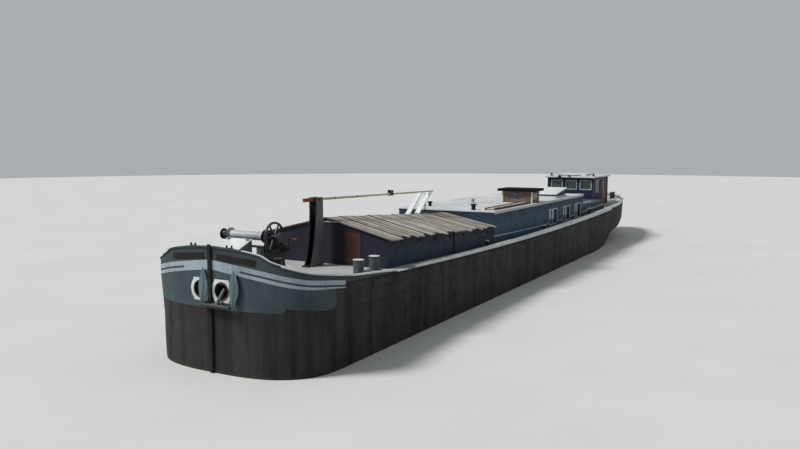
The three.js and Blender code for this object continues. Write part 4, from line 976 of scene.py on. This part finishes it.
# along the barge from the pin, half the heel's thickness
HEEL = ((0.56, 0.040), (0.548, 0.049), (-0.20, 0.049), (-0.26, 0.040))
MAST_PROFILE = [(0, 0.036), (2.0, 0.0345), (4.5, 0.030), (6.5, 0.0265), (7.24, 0.025), (7.29, 0.020),
                (7.301, 0.005)]
MAST_BANDS = ((0.9, 0.0365), (2.1, 0.035), (5.2, 0.030), (6.9, 0.027))
spar = Shape().loft([square(PIVOT.x + x, (-half, half), about(PIVOT.z, half)) for x, half in HEEL], 1)
spar.lathe(PIVOT, MAST_WAY, MAST_PROFILE)
for reach, radius in MAST_BANDS:
    hoop = [(0, radius - 0.006), (0, radius), (0.045, radius), (0.045, radius - 0.006)]
    spar.lathe(PIVOT + MAST_WAY * reach, MAST_WAY, hoop, finish=2)
spar.axle(PIVOT.x, (-0.145, 0.145), PIVOT.z, 0.029, 24, 2)
for sign in SIGNS:
    spar.axle(PIVOT.x, (sign * 0.131, sign * 0.144), PIVOT.z, 0.046, 6, 2)
block = PIVOT + MAST_WAY * 4.18
for sign in SIGNS:
    spar.box(about(block.x, 0.074), beside(sign, 0.044, 0.069), (block.z - 0.049, block.z + 0.132), 2)
spar.box(about(block.x, 0.074), (-0.069, 0.069), (block.z - 0.049, block.z - 0.028), 2)
spar.axle(block.x, (-0.069, 0.069), block.z + 0.085, 0.012, finish=2)
SHEAVE = [(0, 0.046), (0.008, 0.046), (0.022, 0.036), (0.036, 0.046), (0.044, 0.046)]
spar.lathe((block.x, -0.022, block.z + 0.085), ACROSS, SHEAVE, 28, 2)
piece("mast_surface", spar, [SPAR, VARNISH, IRON], "spar", 0.003, "mast", ["mast"])

# Forward hold

HOLD_FROM, HOLD_TO, HOLD_HALF = 4.70, 12.47, 2.0
for side, _ in SIDES:
    dress(f"hold_coaming_{side}", [COAMING], 0.006)
dress("hold_gable", [GABLE], 0.006)
dress("hold_door", [OLD_DOOR], body="hold_door")


def slope_z(x, y):
    """The height of the coamings' top and of the slope between them and the ridge."""
    share = (at(HOLD_FROM) - x) / (HOLD_TO - HOLD_FROM)
    eave, ridge = above(2.79 - 0.39 * share), above(3.27 - 0.47 * share)
    return ridge + (eave - ridge) * abs(y) / HOLD_HALF


PITCH, BOARD_THICK, BOARD_STEP, LONG_BOARD, LONG_BOARDS = 0.26, 0.036, 0.017, 2.19, 3
BOARD_WIDTHS, BOARD_LENGTHS = (0.17, 0.19, 0.21, 0.23, 0.245), (2.04, 2.09, 2.14, 2.18)
board_from, board_to = at(HOLD_FROM - 0.08), at(HOLD_TO)
board_count = int((board_from - board_to) / PITCH)
for side, sign in SIDES:
    planks = Shape()
    for i in range(board_count):
        width = chance.choice(BOARD_WIDTHS)
        fore = board_from - (board_from - board_to) / board_count * i - chance.uniform(0.0, 0.008)
        reach = chance.choice(BOARD_LENGTHS) + chance.uniform(-0.02, 0.015)
        out = LONG_BOARD if i < LONG_BOARDS else reach
        # the boards lie in threes, every second three a step higher
        lift = 0.003 + (i // 3 % 2) * BOARD_STEP + chance.uniform(0.0, 0.006)
        skew = chance.uniform(-0.010, 0.010)
        rows = []
        for y, less in ((0.024, 0), (0.5, 0), (1.0, 0), (1.5, 0), (2.0, 0), (out - 0.008, 0), (out, 0.006)):
            sway = skew * y / 2
            a, b = max(fore - width + sway + less, board_to), min(fore + sway - less, board_from)
            low, high = lift + less * 0.5, lift + BOARD_THICK - less * 0.5
            corners = ((a, low), (b, low), (b, high), (a, high))
            rows.append([(x, sign * y, slope_z(x, y) + height) for x, height in corners])
        first = len(planks.faces)
        planks.loft(rows)
        # the fore and aft sides of each board take the darker wood: painted shade between the boards
        for k in range(4 * (len(rows) - 1)):
            planks.finishes[first + k] = k % 2
    piece(f"hatch_boards_{side}_planks", planks, [BOARDS, BOARD_SIDES_SHADE], "boards", 0.003,
          replaces=[f"hatch_boards_{side}"])

piece("gable_trim", Shape().block((4.686, 4.702), (-0.5, 0.62), (3.165, 3.195)), [WHITE], "white", 0.003)
door_frame = Shape()
for y, height in (((0.55, 0.6), (2.03, 2.98)), ((1.15, 1.2), (2.03, 2.98)), ((0.6, 1.15), (2.93, 2.98))):
    door_frame.block((4.688, 4.702), y, height)
piece("gable_door_frame", door_frame, [GABLE], "navy", 0.003)

cleats = Shape()
for sign in SIGNS:
    for x in [at(aft) for aft in spread(5.6, 11.9, 1.05)]:
        top = slope_z(x, HOLD_HALF) - 0.10
        cleats.box(about(x, 0.035), beside(sign, 1.99, 2.022), (top - 0.10, top))
    x = at(9.05)
    cleats.box(about(x, 0.022), beside(sign, 1.99, 2.03), (deck_z(x) + 0.03, slope_z(x, HOLD_HALF) - 0.02))
piece("coaming_fittings", cleats, [GABLE], "navy", 0.004)

# Cabin

CABIN_TOP, CASING_TOP, HOUSE_TOP = 2.97, 2.40, 3.68
for side, _ in SIDES:
    dress(f"cabin_wall_{side}", [BLUE], 0.005)
    dress(f"cabin_glass_{side}", [GLASS], 0.0)
for end in ("front", "aft"):
    dress(f"cabin_{end}_wall", [BLUE], 0.005)
dress("cabin_roof", [ROOF], 0.014)


def window_frame(shape, depth, opening, height, wide, along=True):
    """Four bars round an opening in a wall along the barge or across it, with their span through the wall."""
    (low, high), sill, head = opening, above(height[0]), above(height[1])
    for span, tall in (
        ((low - wide, high + wide), (head, head + wide)), ((low - wide, high + wide), (sill - wide, sill)),
        ((low - wide, low), (sill, head)), ((high, high + wide), (sill, head)),
    ):
        shape.box(*((span, depth) if along else (depth, span)), tall)


WINDOW_HEIGHT = (1.90, 2.54)
frames = Shape()
for sign in SIGNS:
    for fore, aft in ((18.90, 20.00), (20.95, 21.95), (22.85, 23.80)):
        window_frame(frames, beside(sign, 1.985, 2.016), (at(aft), at(fore)), WINDOW_HEIGHT, 0.032)
        frames.block(about((fore + aft) / 2, 0.018), beside(sign, 1.945, 1.97), WINDOW_HEIGHT)
piece("cabin_window_frames", frames, [SILVER], "white", 0.004)

# aft of the stem, the stripe's top above the water
STRIPE_LINE = ((12.5, 2.07), (15.1, 2.01), (18.9, 1.97), (21.5, 2.02), (24.3, 2.08), (28.76, 2.20))
# from, to, the wall's distance off the centreline
STRIPE_SPANS = ((12.52, 18.86, 2.0), (20.04, 20.91, 2.0), (21.99, 22.81, 2.0), (23.84, 24.30, 2.0),
                (24.31, 28.76, 1.95))
stripes = Shape()
for sign in SIGNS:
    for fore, aft, half in STRIPE_SPANS:
        tops = [(at(place), above(curve(STRIPE_LINE, place))) for place in spread(fore, aft, 0.4)]
        y = (sign * (half - 0.01), sign * (half + 0.004))
        stripes.loft([square(x, y, (top, top - 0.034)) for x, top in tops])
piece("side_stripes", stripes, [STRIPE], "white")

eaves = Shape()
for sign in SIGNS:
    eaves.block((12.50, 24.30), beside(sign, 1.995, 2.022), (2.865, 2.905))
piece("cabin_eaves", eaves, [STRIPE], "white", 0.004)

# The deckhouse, the skylight, the gangplank and the vents on the roofs

dress("deckhouse_walls", [TEAK])
dress("deckhouse_roof", [SOOT], 0.018)
posts, lights = Shape(), Shape()
for aft in (17.08, 17.93):
    for y in (0.52, 1.82):
        posts.block(about(aft, 0.028), about(y, 0.028), (CABIN_TOP + 0.001, CABIN_TOP + 0.481))
piece("deckhouse_posts", posts, [CREAM], "white", 0.005)
for y in ((0.52, 0.55), (1.79, 1.82)):
    lights.block((17.25, 17.76), y, (3.115, 3.355))
for aft in ((17.11, 17.118), (17.892, 17.90)):
    lights.block(aft, (0.78, 1.36), (3.11, 3.36))
piece("deckhouse_glass", lights, [GLASS], "glass")

# the skylight's frame takes the dark casing paint: painted shade under its lid
dress("skylight_frame", [CASING], 0.006)
plinth, plinth_height = Shape(), (CABIN_TOP + 0.001, CABIN_TOP + 0.07)
for aft in (22.26, 20.70):
    plinth.block(about(aft, 0.03), (0.43, 1.73), plinth_height)
for y in (0.46, 1.70):
    plinth.block((20.70, 22.26), about(y, 0.03), plinth_height)
piece("skylight_plinth", plinth, [WHITE], "white", 0.005)
dress("skylight_lid", [WHITE], 0.010, "skylight_lid")
dress("gangplank", [PLANKS, IRON],
      sort=lambda centre, normal: 1 if abs(abs(centre.y - 1.65) - 0.1875) < 0.03 else 0)

# aft of the stem, off the centreline, the roof's height, radius, height, finish
VENTS = (
    (12.75, 1.06, CABIN_TOP, 0.13, 0.24, 1), (13.6, -1.2, CABIN_TOP, 0.11, 0.20, 1),
    (19.2, 1.1, CABIN_TOP, 0.10, 0.20, 0), (23.2, -1.0, CABIN_TOP, 0.12, 0.22, 0),
    (16.0, -0.4, CABIN_TOP, 0.10, 0.20, 0), (25.2, 1.2, CASING_TOP, 0.14, 0.30, 0),
    (25.2, -1.2, CASING_TOP, 0.14, 0.30, 0),
)
# below the vent's top, share of its radius
VENT_CAP = ((0.055, 0.7), (0.06, 1), (0.04, 1.02), (0.02, 0.8), (0.006, 0.45), (0, 0))
vents = Shape()
for aft, y, roof, radius, tall, finish in VENTS:
    foot = Vector((at(aft), y, above(roof)))
    pipe = [(0, radius * 0.9), (0.01, radius * 0.62), (tall - 0.05, radius * 0.6)]
    vents.lathe(foot - up(0.004), UP, pipe, finish=finish)
    vents.lathe(foot, UP, [(tall - drop, radius * share) for drop, share in VENT_CAP], finish=finish)
piece("roof_vents", vents, [PALE, BLACK], "roof")

# Engine casing, its hatches and hand rails

# the casing's top and its hatches are in the dark casing paint, not the pale roof paint: painted shadow of the
# wheelhouse
dress("engine_casing", [CASING], 0.012)
hatches = Shape()
for fore, aft, half in ((24.75, 25.95, 0.75), (26.4, 27.9, 0.9)):
    inset = half - 0.06
    hatches.block((fore, aft), (-half, half), (CASING_TOP - 0.005, CASING_TOP + 0.05))
    hatches.block((fore + 0.06, aft - 0.06), (-inset, inset), (CASING_TOP + 0.045, CASING_TOP + 0.075))
    for y in (-half * 0.6, half * 0.6):
        hatches.axle(at(aft + 0.02), about(y, 0.07), above(CASING_TOP + 0.07), 0.016, finish=1)
for y in (1.86, -1.86):
    for x in (at(24.45), at(25.25), at(26.05)):
        hatches.rod((x, y, above(CASING_TOP - 0.004)), (x, y, above(CASING_TOP + 0.09)), 0.011, finish=2)
    rail_z = above(CASING_TOP + 0.10)
    hatches.rod((at(26.15), y, rail_z), (at(24.35), y, rail_z), 0.019, finish=2)
piece("casing_hatches", hatches, [CASING, IRON, WHITE], "navy", 0.004)

# Wheelhouse

for wall in ("front", "back", "port", "starboard"):
    dress(f"wheelhouse_{wall}", [NAVY], 0.006)
for wall in ("front", "back"):
    dress(f"wheelhouse_{wall}_glass", [GLASS], 0.0)
dress("wheelhouse_roof", [ROOF], 0.022)
for side, _ in SIDES:
    dress(f"door_{side}", [VARNISH], 0.005, f"door_{side}")
dress("helm_pedestal", [VARNISH], 0.008)

house_frames, panes = Shape(), Shape()
for opening in ((-1.058, -0.477), (-0.228, 0.348), (0.582, 1.178)):
    window_frame(house_frames, (at(28.812), at(28.786)), opening, (2.952, 3.428), 0.034, along=False)
window_frame(house_frames, (at(32.014), at(31.988)), (-0.8, 0.8), (2.76, 3.44), 0.045, along=False)
for sign in SIGNS:
    window_frame(house_frames, beside(sign, 1.308, 1.334), (at(30.41), at(29.29)), (2.75, 3.45), 0.016)
    panes.block((29.28, 30.42), beside(sign, 1.276, 1.284), (2.74, 3.46))
piece("wheelhouse_window_frames", house_frames, [SILVER], "white", 0.004)
piece("wheelhouse_side_glass", panes, [PAINTED_SHADE_GLASS], "glass")

KNOB_X, KNOB_Z = at(31.40), above(2.62)
for side, sign in SIDES:
    pane = Shape().block((30.88, 31.36), beside(sign, 1.30, 1.307), (2.75, 3.39))
    piece(f"door_{side}_glass", pane, [PAINTED_SHADE_GLASS], "glass", body=f"door_{side}")
    knob = Shape().axle(KNOB_X, (sign * 1.32, sign * 1.362), KNOB_Z, 0.011, 16)
    round_part = [(0, 0.01), (0.008, 0.026), (0.022, 0.026), (0.03, 0.012)]
    knob.lathe((KNOB_X, sign * 1.355, KNOB_Z), (0, sign, 0), round_part, 20)
    piece(f"door_{side}_knob", knob, [BRONZE], "bronze", body=f"door_{side}")

screen = Shape().block((28.862, 28.875), (-0.22, 0.06), (2.95, 3.43))
piece("wheelhouse_white_panel", screen, [WHITE], "white", 0.003)
corner_posts = Shape()
for sign in SIGNS:
    corner_posts.block((31.93, 32.0), beside(sign, 1.318, 1.336), (1.95, 3.58))
    corner_posts.block((28.80, 28.86), beside(sign, 1.318, 1.334), (2.42, 3.58))
piece("wheelhouse_corner_posts", corner_posts, [VARNISH], "varnish", 0.004)

fittings = Shape()
LAMP_POST = [(0, 0.05), (0.02, 0.052), (0.10, 0.05), (0.125, 0.03)]
for y, radius, rise in ((-0.54, 0.105, -0.065), (0.01, 0.05, 0.035)):
    fittings.block((28.57, 28.61), about(y, radius * 0.5), (HOUSE_TOP - 0.09, HOUSE_TOP - 0.01), 2)
    bowl = [(0, radius * 0.55), (0.02, radius * 0.9), (0.08, radius), (0.085, radius), (0.085, radius * 0.85),
            (0.06, 0)]
    fittings.lathe((at(28.58), y, above(HOUSE_TOP + rise)), AHEAD, bowl, 28, 2)
for sign in SIGNS:
    fittings.block((29.05, 29.3), beside(sign, 1.12, 1.30), (HOUSE_TOP - 0.004, HOUSE_TOP + 0.03), 1)
    fittings.lathe((at(29.17), sign * 1.21, above(HOUSE_TOP + 0.03)), UP, LAMP_POST, 24, 2)
fittings.block((29.4, 31.5), (-0.90, 0.45), (HOUSE_TOP - 0.004, HOUSE_TOP + 0.05), 1)
fittings.block((29.35, 31.55), (-0.95, 0.50), (HOUSE_TOP + 0.045, HOUSE_TOP + 0.085))
fittings.block((28.95, 29.28), (0.56, 0.86), (HOUSE_TOP - 0.004, HOUSE_TOP + 0.13))
piece("wheelhouse_roof_fittings", fittings, [WHITE, DULL, BLACK], "white", 0.003)

HELM = Vector((at(29.556), 0, above(2.42)))
SPOKE = [(0.03, 0.014), (0.10, 0.017), (0.14, 0.011), (0.24, 0.016), (0.34, 0.013), (0.38, 0.013),
         (0.395, 0.010), (0.42, 0.016), (0.45, 0.014), (0.459, 0.005)]
HELM_HUB = [(0, 0.05), (0.004, 0.062), (0.04, 0.062), (0.044, 0.04), (0.07, 0.038)]
helm = Shape().ring(HELM, AHEAD, 0.36, 0.020, 64)
for c, s in circle(8):
    helm.lathe(HELM, (0, s, c), SPOKE, 14)
helm.lathe(HELM - Vector((0.022, 0, 0)), AHEAD, HELM_HUB, finish=1)
piece("steering_wheel_surface", helm, [VARNISH, BRONZE], "varnish", body="steering_wheel",
      replaces=["steering_wheel"])

# Stern gear

dress("rudder", [TAR], 0.010, "rudder")

SCREW = Vector((at(34.1), 0, SHAFT_Z))
BOSS = [(-0.23, 0.0), (-0.228, 0.030), (-0.20, 0.056), (-0.16, 0.078), (-0.12, 0.093), (0.0, 0.096),
        (0.12, 0.088), (0.122, 0.06), (0.58, 0.06), (0.58, 0.0)]
# distance from the shaft, half the blade's width, its angle in degrees, half its thickness
BLADE = (
    (0.085, 0.062, 56, 0.016), (0.14, 0.095, 50, 0.013), (0.22, 0.138, 42, 0.010), (0.30, 0.145, 36, 0.008),
    (0.36, 0.128, 33, 0.006), (0.41, 0.092, 31, 0.005), (0.432, 0.058, 30, 0.004), (0.4395, 0.022, 30, 0.003),
)
LENS_SHAPE = ((-1, 0), (-0.6, 0.75), (0, 1), (0.6, 0.75), (1, 0), (0.6, -0.75), (0, -1), (-0.6, -0.75))
screw = Shape().lathe(SCREW, AHEAD, BOSS, 40)
for c, s in circle(4):
    radial, tangent = Vector((0, s, c)), Vector((0, c, -s))
    rows = []
    for reach, half, degrees, thick in BLADE:
        turn = math.radians(degrees)
        wide = (Vector(AHEAD) * math.sin(turn) + tangent * math.cos(turn)) * half
        deep = (Vector(AHEAD) * math.cos(turn) - tangent * math.sin(turn)) * thick
        rows.append([SCREW + radial * reach + wide * i + deep * j for i, j in LENS_SHAPE])
    screw.loft(rows)
piece("propeller_surface", screw, [BRONZE], "bronze", body="propeller", replaces=["propeller"])

# Deck fittings

DECK_PLATE = [(0, 0.17), (0.012, 0.17), (0.02, 0.155), (0.022, 0.0)]
deck = Shape()
for sign in SIGNS:
    for aft, y in ((2.6, 1.55), (33.4, 1.35)):
        deck.lathe((at(aft), sign * y, deck_z(at(aft)) - 0.003), UP, DECK_PLATE, 40)
aft_deck, stock_deck = deck_z(at(33.4)), deck_z(STOCK_X)
deck.box((at(33.75), at(33.0)), (-0.35, 0.35), (aft_deck - 0.02, aft_deck + 0.14), 1)
deck.box((at(33.79), at(32.96)), (-0.39, 0.39), (aft_deck + 0.135, aft_deck + 0.17), 2)
deck.rod((STOCK_X, 0, stock_deck - 0.005), (STOCK_X, 0, stock_deck + 0.05), 0.12, sides=32)
piece("deck_fittings", deck, [IRON, NAVY, ROOF], "iron", 0.004)

# Floor

FLOOR_RADIUS, FLOOR_SIDES = 120, 96
mesh = bpy.data.meshes.new("floor")
rim = [(FLOOR_RADIUS * c, FLOOR_RADIUS * s, WATER) for c, s in circle(FLOOR_SIDES)]
mesh.from_pydata(rim, [], [tuple(range(FLOOR_SIDES))])
mesh.materials.append(FLOOR)
ground = linked("floor", mesh)
